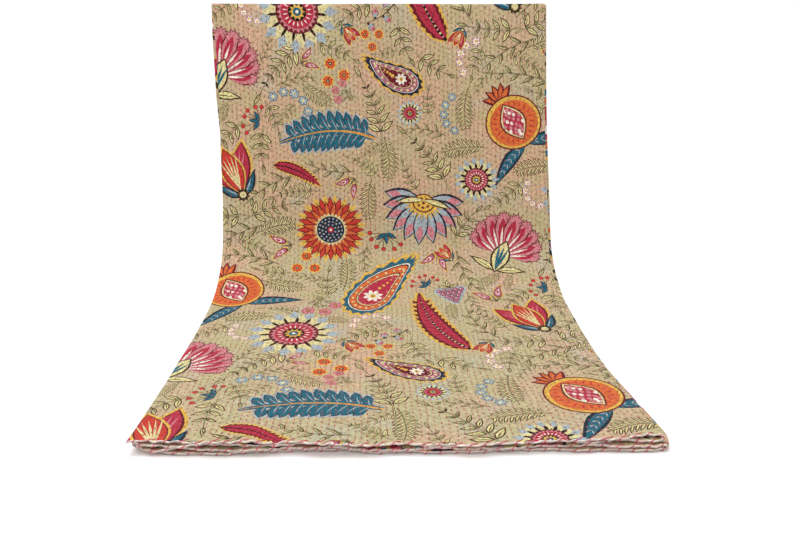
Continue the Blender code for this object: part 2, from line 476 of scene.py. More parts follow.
def blossoms():
    """A forked sprig with five-petalled pink blossoms."""
    d = Drawing()
    for bend, reach in ((0.0, 60), (0.50, 48), (-0.46, 46)):
        line = curve(reach, bend, 6)
        d.add("olive", sides(line, np.linspace(2.4, 1.2, 7)))
        d.add("leaf", sides(line, np.linspace(1.2, 0.3, 7)))
        for n in range(3):
            place, heading = at(line, 0.22 + 0.2 * n)
            leaflet(d, *place, heading - (46 if n % 2 else -46), 16, 6)
        x, y = line[-1]
        for ink, size in (("crimson", 1.0), ("rose", 0.82)):
            for n in range(5):
                spot = turned([(0, 6.2)], 72 * n + bend * 60)[0]
                d.add(ink, disc(x + spot[0], y + spot[1], 5.4 * size, 8))
        d.add("wine", star(x, y, 5.2, 2.6, 5, 18))
        d.add("gold", disc(x, y, 2.0, 6))
    return d


def buti():
    """A pair of small curled drops facing each other, on one short stalk."""
    d = Drawing()
    bands = (("gold", 1.0), ("wine", 0.84), ("mauve", 0.72), ("cream", 0.40), ("crimson", 0.26))
    for side in (-1, 1):
        for ink, size in bands:
            outline = turned(teardrop(9.5 * size, 18 * size, 0.5, 16) * (side, 1), -side * 24)
            d.add(ink, outline + (side * 13, 10))
    d.add("olive", petal(0, -16, 0, 24, 2.2, 1.0, steps=3))
    for turn in (-52, 52):
        leaflet(d, 0, -12, turn, 15, 5.5)
    return d


def bellflowers():
    """A nodding stem of grey-blue bells with rose lips."""
    d = Drawing()
    line = curve(64, 0.5, 8)
    d.add("olive", sides(line, np.linspace(2.2, 1.0, 9)))
    for n in range(4):
        place, heading = at(line, 0.34 + 0.2 * n)
        a = heading + (118 if n % 2 else -118)
        lip = turned([(0, 15.5)], a)[0] + place
        d.add("ink_blue", petal(*place, a, 19, 13.5, 1.5, steps=6))
        d.add("mist", petal(*place, a, 17.5, 11.0, 1.5, steps=6))
        d.add("rose", star(*lip, 6.4, 3.6, 5, a + 90))
        d.add("crimson", disc(*lip, 2.0, 6))
        d.add("olive", petal(*place, a, 6, 5.5, 1.0, steps=3))
    for n in range(3):
        leaflet(d, *at(line, 0.06 + 0.14 * n)[0], 50 - 100 * (n % 2), 18, 6.5)
    return d


def cherries():
    """Red cherries in pairs on thin stalks, with teal leaves."""
    d = Drawing()
    for n in range(3):
        turn = -58 + 58 * n
        for side in (-1, 1):
            line = turned(curve(27 + 3 * n, 0.22 * side, 4), turn)
            d.add("olive", sides(line, np.full(5, 1.1)))
            d.add("wine", disc(*line[-1], 4.4, 9))
            d.add("scarlet", disc(*line[-1], 3.6, 8))
            d.add("cream", disc(line[-1][0] - 1.2, line[-1][1] + 1.2, 0.9, 4))
        d.add("ink_blue", petal(0, 0, turn + 29, 22, 8.5, 0.9, 0.1, 5))
        d.add("teal", petal(0, 0, turn + 29, 20, 6.0, 0.9, 0.1, 5))
    return d


JASMINE_ROW = ((-27, -6), (-14, 6), (2, 9), (18, 4), (30, -9))


def jasmine(petals="cream", heart="gold", edge="mauve"):
    """A bowed row of small six-petalled flowers."""
    d = Drawing()
    for x, y in JASMINE_ROW:
        for ink, reach, width in ((edge, 8.6, 5.6), (petals, 7.4, 3.8)):
            for n in range(6):
                d.add(ink, petal(x, y, 60 * n, reach, width, 1.2, steps=4))
        d.add(heart, disc(x, y, 2.4, 7))
        d.add("wine", disc(x, y, 0.9, 4))
    return d


MOTIFS = {
    "pomegranate": pomegranate(),
    "paisley": paisley(),
    "small_paisley": paisley(40, "ink_blue", "mauve", "wine", 36),
    "rosette": rosette(),
    "red_rosette": rosette(34),
    "saz_leaf": saz_leaf(),
    "carnation": carnation(),
    "lotus": lotus(),
    "sunflower": sunflower(),
    "tulip": tulip(),
    "acanthus": acanthus(),
    "small_tulip": tulip(30),
    "marigolds": marigolds(),
    "grapes": grapes(),
    "blossoms": blossoms(),
    "buti": buti(),
    "bellflowers": bellflowers(),
    "cherries": cherries(),
    "jasmine": jasmine(),
    "blue_jasmine": jasmine("mist", "straw", "teal"),
    "spray": leafy_spray(),
    "long_spray": leafy_spray(104, 6, 25, 9.5, 0.30),
    "small_spray": leafy_spray(56, 3, 20, 8, -0.3),
    "fern": fern(),
    "willow": willow(84, 7),
}

# The large flowers and small posies of one repeat: motif, across, along, turn, size.
LAYOUT = (
    ("pomegranate", 92, 552, 30, 1.42),
    ("paisley", 330, 566, -28, 1.34),
    ("rosette", 204, 420, 0, 1.26),
    ("saz_leaf", 458, 372, 42, 1.28),
    ("carnation", 62, 312, -24, 1.42),
    ("acanthus", 330, 206, 66, 1.24),
    ("lotus", 412, 98, 172, 1.42),
    ("tulip", 96, 108, 22, 1.42),
    ("sunflower", 248, 46, 0, 1.16),
    ("small_paisley", 362, 312, 70, 1.36),
    ("red_rosette", 25, 453, 0, 1.10),
    ("saz_leaf", 152, 160, -92, 0.60),
    ("marigolds", 206, 618, 0, 1.12),
    ("grapes", 448, 556, 10, 1.1),
    ("blue_jasmine", 186, 274, -20, 1.14),
    ("jasmine", 310, 466, 30, 1.0),
    ("marigolds", 262, 318, 20, 1.12),
    ("blossoms", 224, 546, 200, 1.0),
    ("buti", 36, 214, 20, 1.1),
    ("cherries", 344, 40, 160, 1.0),
    ("bellflowers", 372, 436, 150, 0.9),
    ("jasmine", 10, 26, 70, 1.0),
    ("buti", 432, 632, 160, 1.0),
    ("blue_jasmine", 460, 246, 96, 1.0),
    ("buti", 168, 16, 100, 1.0),
    ("marigolds", 330, 376, 60, 0.9),
    ("cherries", 130, 236, 60, 0.9),
    ("red_rosette", 392, 250, 0, 0.62),
    ("buti", 286, 128, 140, 0.9),
    ("blossoms", 300, 276, 70, 0.65),
    ("jasmine", 120, 420, 120, 0.8),
    ("cherries", 412, 568, 20, 0.8),
    ("small_tulip", 6, 70, 150, 1.0),
    ("small_tulip", 282, 396, -140, 1.0),
    ("small_tulip", 456, 628, 40, 1.0),
    ("buti", 214, 338, -70, 0.8),
)

# The leaf sprays that fill the gaps between them, taken in turn. Each goes where the most room is left, at
# the turn and size that hide the least of what is there, and a larger one may hide a little more.
SPRAYS = ("long_spray", "willow", "fern", "spray", "willow", "small_spray", "fern", "small_spray")
SPRAY_COUNT = 54
SPRAY_SIZES = (1.2, 1.0, 0.8, 0.65)
SPRAY_FIRST_TURN, SPRAY_TURN_STEP = 100, 20
SIZE_WORTH = 0.10
CELL = 4.0                   # of the grid in which the room is measured


def cells_of(points):
    """Grid cells that a motif covers in the doubled repeat, which joins up like plain tiles."""
    both = np.vstack([points, points + (REPEAT_ACROSS, REPEAT_ALONG / 2)])
    across = (both[:, 0] // CELL).astype(int) % int(2 * REPEAT_ACROSS / CELL)
    along = (both[:, 1] // CELL).astype(int) % int(REPEAT_ALONG / CELL)
    return across, along


def body_points(drawing):
    """Points all over a drawing."""
    parts = []
    for _, points in drawing:
        middle = points.mean(axis=0)
        parts += [middle + (points - middle) * share for share in (1.0, 0.7, 0.35)]
    return np.vstack(parts)


def room(taken):
    """Steps from each free cell to the nearest taken one."""
    steps = np.zeros(taken.shape, int)
    while not taken.all():
        steps += ~taken
        beside = [np.roll(taken, way, axis) for way in (1, -1) for axis in (0, 1)]
        taken = np.logical_or.reduce([taken, *beside])
    return steps


def best_spray(motif, taken, place, first_turn):
    """A spray about a place, at the turn and size that suit it best, and the cells that it covers."""
    middle = body_points(motif).mean(axis=0)
    best = None
    for turn in range(first_turn, first_turn + 360, SPRAY_TURN_STEP):
        for size in SPRAY_SIZES:
            for mirrored in (False, True):
                one = Drawing()
                here = turned([middle * (size * (-1 if mirrored else 1), size)], turn)[0]
                one.place(motif, *(place - here), turn, size, mirrored)
                cells = cells_of(body_points(one))
                hidden = taken[cells].mean() - SIZE_WORTH * size
                if best is None or hidden < best[0]:
                    best = (hidden, one, cells)
    return best[1:]


def whole_tile():
    """One repeat of the print: the large flowers over the sprays that fill the gaps between them."""
    tile = Drawing()
    taken = np.zeros((int(2 * REPEAT_ACROSS / CELL), int(REPEAT_ALONG / CELL)), bool)
    for name, across, along, turn, size in LAYOUT:
        one = Drawing()
        one.place(MOTIFS[name], across, along, turn, size)
        taken[cells_of(body_points(one))] = True
        tile += one
    sprays = Drawing()
    for number in range(SPRAY_COUNT):
        steps = room(taken)
        place = CELL * np.array(np.unravel_index(steps.argmax(), steps.shape))
        motif = MOTIFS[SPRAYS[number % len(SPRAYS)]]
        spray, cells = best_spray(motif, taken, place, number * SPRAY_FIRST_TURN)
        taken[cells] = True
        sprays += spray
    return Drawing(sprays + tile)


# ---- The quilt
# One cloth of two cotton faces over a thin middle layer, folded lengthwise into four layers, zigzag. It
# hangs from its top edge, sweeps forward in a soft bend and lies flat at the front, where its hems show.
# Places on the flat cloth are u, across it from the top layer's free side, and v, up from the front hem.
FOLDED_WIDTH = 0.572
CLOTH_THICKNESS = 0.0022
LAYER_WIDTHS = (0.5645, 0.5605, 0.5675, 0.5620)
FOLD_ARC = 0.008
SWEEP_LENGTH = 0.954
LEAN_SHORTENS = 0.007        # the stack's middle is this far over its underside, on the bend's short side
CLOTH_LENGTH = 0.943
LINE_STEP = 0.0005
SOFTENED_OVER = 0.030        # the bend's changes of slope are evened out over this length

# The line that the lowest layer follows: distance from the front hem, slope in degrees, sideways drift.
SWEEP = (
    (0.000, 0.0, 0.001), (0.030, 0.0, 0.000), (0.140, 0.0, -0.007), (0.210, 3.0, -0.012),
    (0.292, 7.0, -0.014), (0.372, 10.0, -0.016), (0.408, 14.0, -0.018), (0.436, 26.0, -0.019),
    (0.489, 38.0, -0.021), (0.516, 50.0, -0.022), (0.556, 72.0, -0.023), (0.617, 75.0, -0.024),
    (0.778, 81.0, -0.030), (0.954, 83.0, -0.035),
)

# Distances between the middles of neighbouring layers at the front hem, by share of the width. Behind it
# they even out, over this length and by this share.
EVEN_GAP = 0.0038
EVENING_OUT, EVENED = 0.300, 0.5
GAP_PLACES = (0.00, 0.20, 0.48, 0.66, 0.86, 1.00)
GAPS = (
    (0.0038, 0.0045, 0.0033, 0.0033, 0.0044, 0.0050),
    (0.0054, 0.0049, 0.0034, 0.0033, 0.0036, 0.0040),
    (0.0038, 0.0043, 0.0033, 0.0033, 0.0042, 0.0050),
)

# Where the hems lie loose they wave up and down, each in its own way, by up to this much. The lowest one
# lies on the ground, so it can only rise, and half as far. Each wave is its length as a share of the
# width, its shift from one layer to the next, and its height.
LOOSE_PLACES = (0.00, 0.04, 0.25, 0.34, 0.44, 0.56, 0.84, 0.93, 1.00)
LOOSENESS = (0.0003, 0.0010, 0.0009, 0.0005, 0.0002, 0.0002, 0.0005, 0.0007, 0.0003)
LOOSE_REACH = 0.045
LOOSE_WAVES = ((0.155, 0.29, 1.0), (0.071, 0.47, 0.6))
LOWEST_LAYER = 3
LOWEST_RISES = 0.5

# The whipping stitches crimp the hems, some crimps in all the layers together and some in each its own
# way, more where it is loose. Their lengths are in stitches.
HEM_PITCH = 0.0160           # from one whipping stitch of the front hem to the next
SHARED_CRIMPS = ((1.0, 0.0, 1.0), (1 / 1.37, 0.2, 0.7))
OWN_CRIMPS = ((1.0, 0.31, 1.0), (1 / 1.61, 0.43, 0.5))
SHARED_CRIMP, OWN_CRIMP, LOOSE_CRIMP = 0.00034, 0.00012, 0.40
CRIMP_REACH = 0.008

# Each layer from the top one down: its left and right ends at the front hem and at the top edge, and how
# far its ends draw in at the hem's corners.
LAYER_ENDS = (
    ((0.000, 0.566), (0.000, 0.566)), ((0.004, 0.566), (0.004, 0.566)),
    ((0.004, 0.576), (0.004, 0.570)), ((0.012, 0.576), (0.007, 0.570)),
)
CORNER_DRAWS = ((0.000, 0.003), (0.003, 0.003), (0.003, 0.009), (0.006, 0.009))
CORNER_REACH = 0.030
# Near the top the layers have slipped sideways, and the side folds of the lower ones show at the left.
TOP_SLIPS = ((0.0032, 0.0), (-0.0040, 0.0), (-0.0040, 0.0), (0.0, 0.0))
SLIP_HEIGHTS = (0.0, 0.70, 0.80, 0.91, SWEEP_LENGTH)
SLIP_SHARES = (0.0, 0.0, 1.0, 0.8, 0.3)

line_along = np.arange(0.0, SWEEP_LENGTH + LINE_STEP / 2, LINE_STEP)
sweep_distance, sweep_slope, sweep_drift = np.array(SWEEP).T
half_window = int(SOFTENED_OVER / LINE_STEP / 2)
evening = np.full(2 * half_window + 1, 1 / (2 * half_window + 1))
line_slope = np.radians(np.interp(line_along, sweep_distance, sweep_slope))
line_slope = np.convolve(np.pad(line_slope, half_window, "edge"), evening, "valid")
middle_slope = (line_slope[1:] + line_slope[:-1]) / 2
line_depth = np.concatenate([[0.0], np.cumsum(np.cos(middle_slope)) * LINE_STEP])
line_rise = np.concatenate([[0.0], np.cumsum(np.sin(middle_slope)) * LINE_STEP])
line_drift = np.interp(line_along, sweep_distance, sweep_drift)
line_cloth = line_along - LEAN_SHORTENS * line_slope

# The cloth's strips from the top layer's free side: where each starts, its layer and, where it is a
# side fold, the side it turns on.
STRIPS = []
start = 0.0
for layer, width in enumerate(LAYER_WIDTHS):
    STRIPS.append((start, start + width, layer, 0))
    start += width
    if layer < LOWEST_LAYER:
        STRIPS.append((start, start + FOLD_ARC, layer, 1 if layer % 2 == 0 else -1))
        start += FOLD_ARC
CLOTH_WIDTH = start


def layer_end(layer, side, along):
    """Distance of a layer's left or right end from the left side of the stack."""
    at_hem, at_top = LAYER_ENDS[layer][0][side], LAYER_ENDS[layer][1][side]
    share = along / SWEEP_LENGTH
    drawn_in = CORNER_DRAWS[layer][side] * np.clip(1 - along / CORNER_REACH, 0.0, 1.0) ** 2
    slipped = TOP_SLIPS[layer][side] * np.interp(along, SLIP_HEIGHTS, SLIP_SHARES)
    return at_hem * (1 - share) + at_top * share + (drawn_in if side == 0 else -drawn_in) + slipped


def near_hem(along, reach):
    """1 at the front hem, less and less behind it."""
    return np.exp(-np.maximum(along, 0.0) / reach)


def waves(place, number, kinds):
    """Waves added up, each with its length, its shift times a number, and its height."""
    return sum(high * np.sin(math.tau * (place / length + shift * number)) for length, shift, high in kinds)


def layer_height(layer, across, along):
    """Height of a layer's middle over the surface of the stack's underside."""
    unevenness = 1 - EVENED * np.clip(along / EVENING_OUT, 0.0, 1.0)
    height = CLOTH_THICKNESS / 2
    for gap in GAPS[layer:]:
        height = height + EVEN_GAP + (np.interp(across, GAP_PLACES, gap) - EVEN_GAP) * unevenness
    loose = np.interp(across, LOOSE_PLACES, LOOSENESS) * near_hem(along, LOOSE_REACH)
    stitches = across * FOLDED_WIDTH / HEM_PITCH
    shared = SHARED_CRIMP * waves(stitches, 1, SHARED_CRIMPS)
    own = (OWN_CRIMP + LOOSE_CRIMP * loose) * waves(stitches, layer, OWN_CRIMPS)
    risen = loose * waves(across, layer, LOOSE_WAVES) + (shared + own) * near_hem(along, CRIMP_REACH)
    if layer == LOWEST_LAYER:
        risen = LOWEST_RISES * np.maximum(risen, 0.0)
    return height + risen


# How far each layer's hem is set back, by share of the width. The second one has slipped back further
# between its neighbours, so that a dark gap shows, and every hem wanders a little.
SET_BACK_PLACES = (0.00, 0.015, 0.03, 0.06, 0.20, 0.30, 0.39, 0.45, 0.63, 0.78, 0.87, 0.97, 1.00)
HEM_SET_BACKS = (
    (0.001, 0.001, 0.001, 0.001, 0.001, 0.001, 0.001, 0.001, 0.002, 0.005, 0.010, 0.013, 0.014),
    (0.009, 0.006, 0.002, 0.002, 0.002, 0.002, 0.001, 0.000, 0.003, 0.007, 0.010, 0.012, 0.013),
    (0.013, 0.010, 0.004, 0.001, 0.001, 0.004, 0.006, 0.003, 0.005, 0.009, 0.009, 0.008, 0.011),
    (0.014, 0.012, 0.006, 0.002, 0.002, 0.007, 0.012, 0.003, 0.006, 0.009, 0.009, 0.005, 0.010),
)
SLIPPED_HEM = 1
SLIP_PLACES = (0.00, 0.27, 0.34, 0.50, 0.56, 0.64, 0.69, 0.80, 0.84, 1.00)
SLIPS = (0.000, 0.000, 0.011, 0.012, 0.002, 0.003, 0.010, 0.011, 0.001, 0.000)
WANDERS = ((0.23, 0.37, 0.0017), (0.094, 0.61, 0.0009))
WANDER_REACH = 0.050
SCALLOP, SCALLOP_SHIFT = 0.0006, 0.17


def hem_set_back(layer, across, along):
    """How far a layer's front hem lies behind the foremost hem."""
    set_back = np.interp(across, SET_BACK_PLACES, HEM_SET_BACKS[layer])
    if layer == SLIPPED_HEM:
        set_back = set_back + np.interp(across, SLIP_PLACES, SLIPS)
    set_back = set_back + waves(across, layer, WANDERS) * near_hem(along, WANDER_REACH)
    scallop = np.cos(math.tau * (across * FOLDED_WIDTH / HEM_PITCH + SCALLOP_SHIFT * layer))
    return set_back - SCALLOP * scallop * near_hem(along, CRIMP_REACH)


def stacked(u, along):
    """The folded stack: distance from the left, height, hem set-back and turn of the printed side."""
    x, height, set_back, turn = (np.zeros(len(u)) for _ in range(4))
    for first, last, layer, fold in STRIPS:
        here = (u >= first) & (u <= last) if layer == 0 and not fold else (u > first) & (u <= last)
        if not here.any():
            continue
        share, reach_along = (u[here] - first) / (last - first), along[here]
        if not fold:
            left, right = layer_end(layer, 0, reach_along), layer_end(layer, 1, reach_along)
            x[here] = left + (right - left) * (share if layer % 2 == 0 else 1 - share)
            across = x[here] / FOLDED_WIDTH
            height[here] = layer_height(layer, across, reach_along)
            set_back[here] = hem_set_back(layer, across, reach_along)
            turn[here] = 0.0 if layer % 2 == 0 else math.pi
            continue
        end = layer_end(layer, 1 if fold > 0 else 0, reach_along)
        across = end / FOLDED_WIDTH
        upper, lower = (layer_height(n, across, reach_along) for n in (layer, layer + 1))
        angle = math.pi * share
        x[here] = end + fold * (upper - lower) / 2 * np.sin(angle)
        height[here] = (upper + lower) / 2 + (upper - lower) / 2 * np.cos(angle)
        upper_back, lower_back = (hem_set_back(n, across, reach_along) for n in (layer, layer + 1))
        set_back[here] = upper_back * (1 - share) + lower_back * share
        turn[here] = angle if fold > 0 else math.pi - angle
    return x, height, set_back, turn


# Soft swells of the hanging stretch, which all the layers share.
RIPPLE_HEIGHT = 0.0016
RIPPLE_ACROSS, RIPPLE_ALONG = 0.31, 0.42
box_low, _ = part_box("quilt")
CENTRING = np.array([box_low[0] + FOLDED_WIDTH / 2 - sweep_drift[-1], box_low[1], 0.0])


def draped(u, v, proud):
    """Places of points of the flat cloth, proud of the middle of its thickness towards the printed side."""
    u, v, proud = (np.asarray(values, float) for values in (u, v, proud))
    along = np.interp(v, line_cloth, line_along) + np.minimum(v, 0.0)
    x, height, set_back, turn = stacked(u, along)
    x = x + proud * np.sin(turn)
    height = height + proud * np.cos(turn)
    along = set_back + along * (1 - set_back / SWEEP_LENGTH)
    slope = np.interp(along, line_along, line_slope)
    depth = np.interp(along, line_along, line_depth) + np.minimum(along, 0.0)
    rise = np.interp(along, line_along, line_rise)
    ripple = np.sin(math.tau * (x / RIPPLE_ACROSS + along / RIPPLE_ALONG))
    height = height + RIPPLE_HEIGHT * ripple * np.sin(slope) ** 2
    across = x - FOLDED_WIDTH / 2 + np.interp(along, line_along, line_drift)
    return np.c_[across, depth - height * np.sin(slope), rise + height * np.cos(slope)] + CENTRING


# Running stitches hold the layers of the cloth together, in rows up its length.
ROW_SPACING = 0.0074
STITCH_PITCH = 0.0092
ROW_SHIFT = 0.618            # of a pitch, from one row's stitches to the next row's
# A stray is its lengths up and across the cloth, its shift and how far it goes.
ROW_STRAYS = ((0.23, 0.145, 0.1, 0.0011), (0.081, -0.052, 0.0, 0.0005))


def row_wander(u, v):
    """How far the hand-sewn rows stray to the side of a straight line."""
    return sum(
        far * np.sin(math.tau * (v / up + u / across + shift)) for up, across, shift, far in ROW_STRAYS
    )


def row_number(u, v):
    """Place between the rows, a whole number on each row."""
    return (u + row_wander(u, v)) / ROW_SPACING


# The front hem is two turned edges of the cloth, plump between the whipping stitches that draw them
# together, with a groove between them.
HEM_HALF = 0.00136           # half its thickness
HEM_PULL = 0.15              # it is this share thinner where a stitch goes in, and plumper between
HEM_PUFF_REACH = 0.0100      # how far up it is plump
SEAM_DEPTH = 0.0012
# Over how much of its border an edge is rounded, and how blunt it stays: 0 is sharp and 1 is square.
HEM_ROUND, HEM_BLUNT = 0.0016, 0.25
SIDE_ROUND, SIDE_BLUNT = 0.0013, 0.04


def half_thickness(u, v):
    """Half the cloth's thickness, plump at the front hem and rounded off at every edge."""
    plump = np.clip(1 - v / HEM_PUFF_REACH, 0.0, 1.0)
    pulled = 1 - HEM_PULL * np.cos(math.tau * u / HEM_PITCH)
    half = CLOTH_THICKNESS / 2 + (HEM_HALF * pulled - CLOTH_THICKNESS / 2) * plump * (2 - plump)
    edges = [(v, HEM_ROUND, HEM_BLUNT)]
    edges += [(inside, SIDE_ROUND, SIDE_BLUNT) for inside in (CLOTH_LENGTH - v, u, CLOTH_WIDTH - u)]
    for inside, radius, blunt in edges:
        short = np.clip(1 - inside / radius, 0.0, 1.0)
        half = half * np.sqrt(np.maximum(1 - short**2, blunt))
    return half


# The cloth is cut in cells, along the outlines of its print where it shows and plain where it is hidden.
# Each zone is its ends across and up the cloth, the least size of a shape of the print that it keeps, and
# 2 where it keeps every second point of an outline.
MM = 1000.0
WIDTH_MM, LENGTH_MM = round(CLOTH_WIDTH * MM, 3), CLOTH_LENGTH * MM
FACE_START, BACK_START = (-60.0, -130.0), (130.0, 40.0)
FACE_ZONES = (
    (0.0, 572.5, 0.0, 1000.0, 3.0, 1),          # the top layer
    (1150.0, 1700.0, 0.0, 20.0, 30.0, 2),       # the third layer's hem
    (1700.5, 2300.0, 0.0, 1000.0, 45.0, 2),     # the lowest layer
)
BACK_ZONES = (
    (0.0, 2300.0, 0.0, 10.0, 90.0, 2),          # every hem
    (1125.0, 1141.0, 0.0, 1000.0, 60.0, 2),     # the fold that shows at the left
)
FEW_POINTS = 10              # an outline of no more than these keeps them all
EDGE_ROWS = (0.3, 0.8, 1.6)
HEM_ROWS = (0.3, 0.8, 1.8, 4.0, 7.0)
HEM_STRIP = 10.0
HEM_SPACING = 3.4            # between points of the hem, across the cloth
UP_LINES = (0.0, HEM_STRIP) + tuple(np.linspace(HEM_STRIP, LENGTH_MM, 11)[1:])
# How many cells each layer has across it, and how far apart the points of a cell's net lie, across and up:
# on each layer's face, on any layer's back, and on a fold's face and back.
CELL_COUNTS = (6, 4, 4, 6)
FACE_NETS = ((12.0, 12.5), (40.0, 18.0), (40.0, 18.0), (18.0, 15.0))
BACK_NET = (40.0, 18.0)
FOLD_NETS = ((1.2, 6.0), (1.6, 18.0))
SIDE_SPACING = 8.0
CROWDED = 1.7                # a point of the net gives way to an outline this near it
CUT_EXACTNESS = 1e-5
SAME_POINT = 0.003


def area_of(points):
    """Area of a shape, negative where its points run clockwise."""
    x, y = points.T
    return np.sum(x * np.roll(y, -1) - y * np.roll(x, -1)) / 2


def touches(zone, left, right, bottom, top):
    """Whether a zone and a box on the flat cloth overlap."""
    return left < zone[1] and right > zone[0] and bottom < zone[3] and top > zone[2]


def printed(tile, zones, start):
    """The print's shapes on one side of the cloth: ink, points, lowest and highest corner, and zones."""
    tile = [(ink, points if area_of(points) > 0 else points[::-1]) for ink, points in tile]
    sizes = [(area_of(points), points.min(axis=0), points.max(axis=0)) for _, points in tile]
    shapes = []
    for column in range(-1, int(WIDTH_MM / REPEAT_ACROSS) + 2):
        for row in range(-2, int(LENGTH_MM / REPEAT_ALONG) + 2):
            step = row * REPEAT_ALONG + (column % 2) * REPEAT_ALONG / 2
            place = np.array([column * REPEAT_ACROSS + start[0], step + start[1]])
            for (ink, points), (area, low, high) in zip(tile, sizes):
                (left, bottom), (right, top) = low + place, high + place
                box = (left, right, bottom, top)
                here = [zone for zone in zones if area > zone[4] and touches(zone, *box)]
                if here:
                    every = min(zone[5] for zone in here) if len(points) > FEW_POINTS else 1
                    shapes.append((ink, points[::every] + place, (left, bottom), (right, top), here))
    return shapes


def marks(start, end, spacing, last):
    """Places from start up to end, with a few more beside an edge of the cloth."""
    if last == LENGTH_MM and end == HEM_STRIP:
        return np.array((0.0,) + HEM_ROWS)
    places = np.linspace(start, end, max(1, round((end - start) / spacing)) + 1)[:-1]
    near_start = [row for row in EDGE_ROWS if start == 0]
    near_end = [last - row for row in EDGE_ROWS if end == last]
    return np.unique(np.r_[places, near_start, near_end])


def cell_points(x0, x1, y0, y1, across, up):
    """Points round a cell and a net inside it. Two cells that share a border have the same points on it."""
    across = min(across, HEM_SPACING) if y0 == 0 else across
    xs, ys = marks(x0, x1, across, WIDTH_MM), marks(y0, y1, up, LENGTH_MM)
    points = [(x0, y0), (x1, y0), (x1, y1), (x0, y1)]
    points += [(x, y) for x in xs[1:] for y in ys[1:]]
    for y in (y0, y1):
        spacing = HEM_SPACING if y == HEM_STRIP else across
        points += [(x, y) for x in marks(x0, x1, spacing, WIDTH_MM)[1:]]
    side_rows = marks(y0, y1, SIDE_SPACING, LENGTH_MM)
    return points + [(x, y) for x in (x0, x1) for y in side_rows[1:]]


def cell_columns(is_face):
    """The cells' columns across one side: their ends, and the spacing of the net across and up."""
    columns = []
    for first, last, layer, fold in STRIPS:
        lines = np.round(np.linspace(first * MM, last * MM, 2 if fold else CELL_COUNTS[layer] + 1), 3)
        face_net, back_net = FOLD_NETS if fold else (FACE_NETS[layer], BACK_NET)
        columns += [(x0, x1, *(face_net if is_face else back_net)) for x0, x1 in zip(lines, lines[1:])]
    return columns


def cut_lines(x0, x1, y0, y1, across):
    """Lines along which a curved part of the cloth is cut whatever its print: its folds and its edges."""
    xs = [row for row in EDGE_ROWS if x0 == 0] + [WIDTH_MM - row for row in EDGE_ROWS if x1 == WIDTH_MM]
    xs += list(marks(x0, x1, across, WIDTH_MM)[1:]) if x1 - x0 < 2 * FOLD_ARC * MM else []
    lines = [((x, y0), (x, y1)) for x in xs]
    return lines + [((x0, y), (x1, y)) for y in (HEM_ROWS if y1 == HEM_STRIP else ())]


def crossings(outline, x0, x1, y0, y1):
    """Points where an outline crosses a cell's border, which the cell shares with one that is printed."""
    found = []
    lines = ((0, x0, y0, y1), (0, x1, y0, y1), (1, y0, x0, x1), (1, y1, x0, x1))
    start, end = outline, np.roll(outline, -1, axis=0)
    for axis, place, low, high in lines:
        crosses = (start[:, axis] - place) * (end[:, axis] - place) < 0
        first, last = start[crosses], end[crosses]
        share = (place - first[:, axis]) / (last[:, axis] - first[:, axis])
        for value in first[:, 1 - axis] + share * (last[:, 1 - axis] - first[:, 1 - axis]):
            if low < value < high:
                found.append((place, value) if axis == 0 else (value, place))
    return found


def cut_cell(x0, x1, y0, y1, across, up, near):
    """One cell's points, triangles and inks, cut along the shapes of the print that show in it."""
    shown, met = [], []
    for shape in near:
        _, outline, low, high, zones = shape
        if high[1] <= y0 or low[1] >= y1:
            continue
        if any(touches(zone, x0, x1, y0, y1) for zone in zones):
            shown.append(shape)
        else:
            met += crossings(outline, x0, x1, y0, y1)
    net = np.array(cell_points(x0, x1, y0, y1, across, up) + met)
    inner = (net[:, 0] > x0) & (net[:, 0] < x1) & (net[:, 1] > y0) & (net[:, 1] < y1)
    crowded = {tuple(spot) for shape in shown for spot in (shape[1] // CROWDED).astype(int).tolist()}
    spots = (net // CROWDED).astype(int).tolist()
    free = [not inside or tuple(spot) not in crowded for inside, spot in zip(inner, spots)]
    coords = [Vector(point) for point in net[free]]
    edges = [(0, 1), (1, 2), (2, 3), (3, 0)]
    for line in cut_lines(x0, x1, y0, y1, across):
        edges.append((len(coords), len(coords) + 1))
        coords += [Vector(point) for point in line]
    faces = []
    for _, outline, *_ in shown:
        faces.append(list(range(len(coords), len(coords) + len(outline))))
        coords += [Vector(point) for point in outline]
    cut = delaunay_2d_cdt(coords, edges, faces, 0, CUT_EXACTNESS, True)
    points, triangles = np.array([tuple(point) for point in cut[0]]), np.array(cut[2])
    middle = points[triangles].mean(axis=1)
    here = (middle > (x0, y0)).all(axis=1) & (middle < (x1, y1)).all(axis=1)
    used, kept = np.unique(triangles[here], return_inverse=True)
    sources = [source for source, inside in zip(cut[5], here) if inside]
    inks = [INK_NUMBERS[shown[max(source)][0]] if source else 0 for source in sources]
    return points[used], kept.reshape(-1, 3), inks


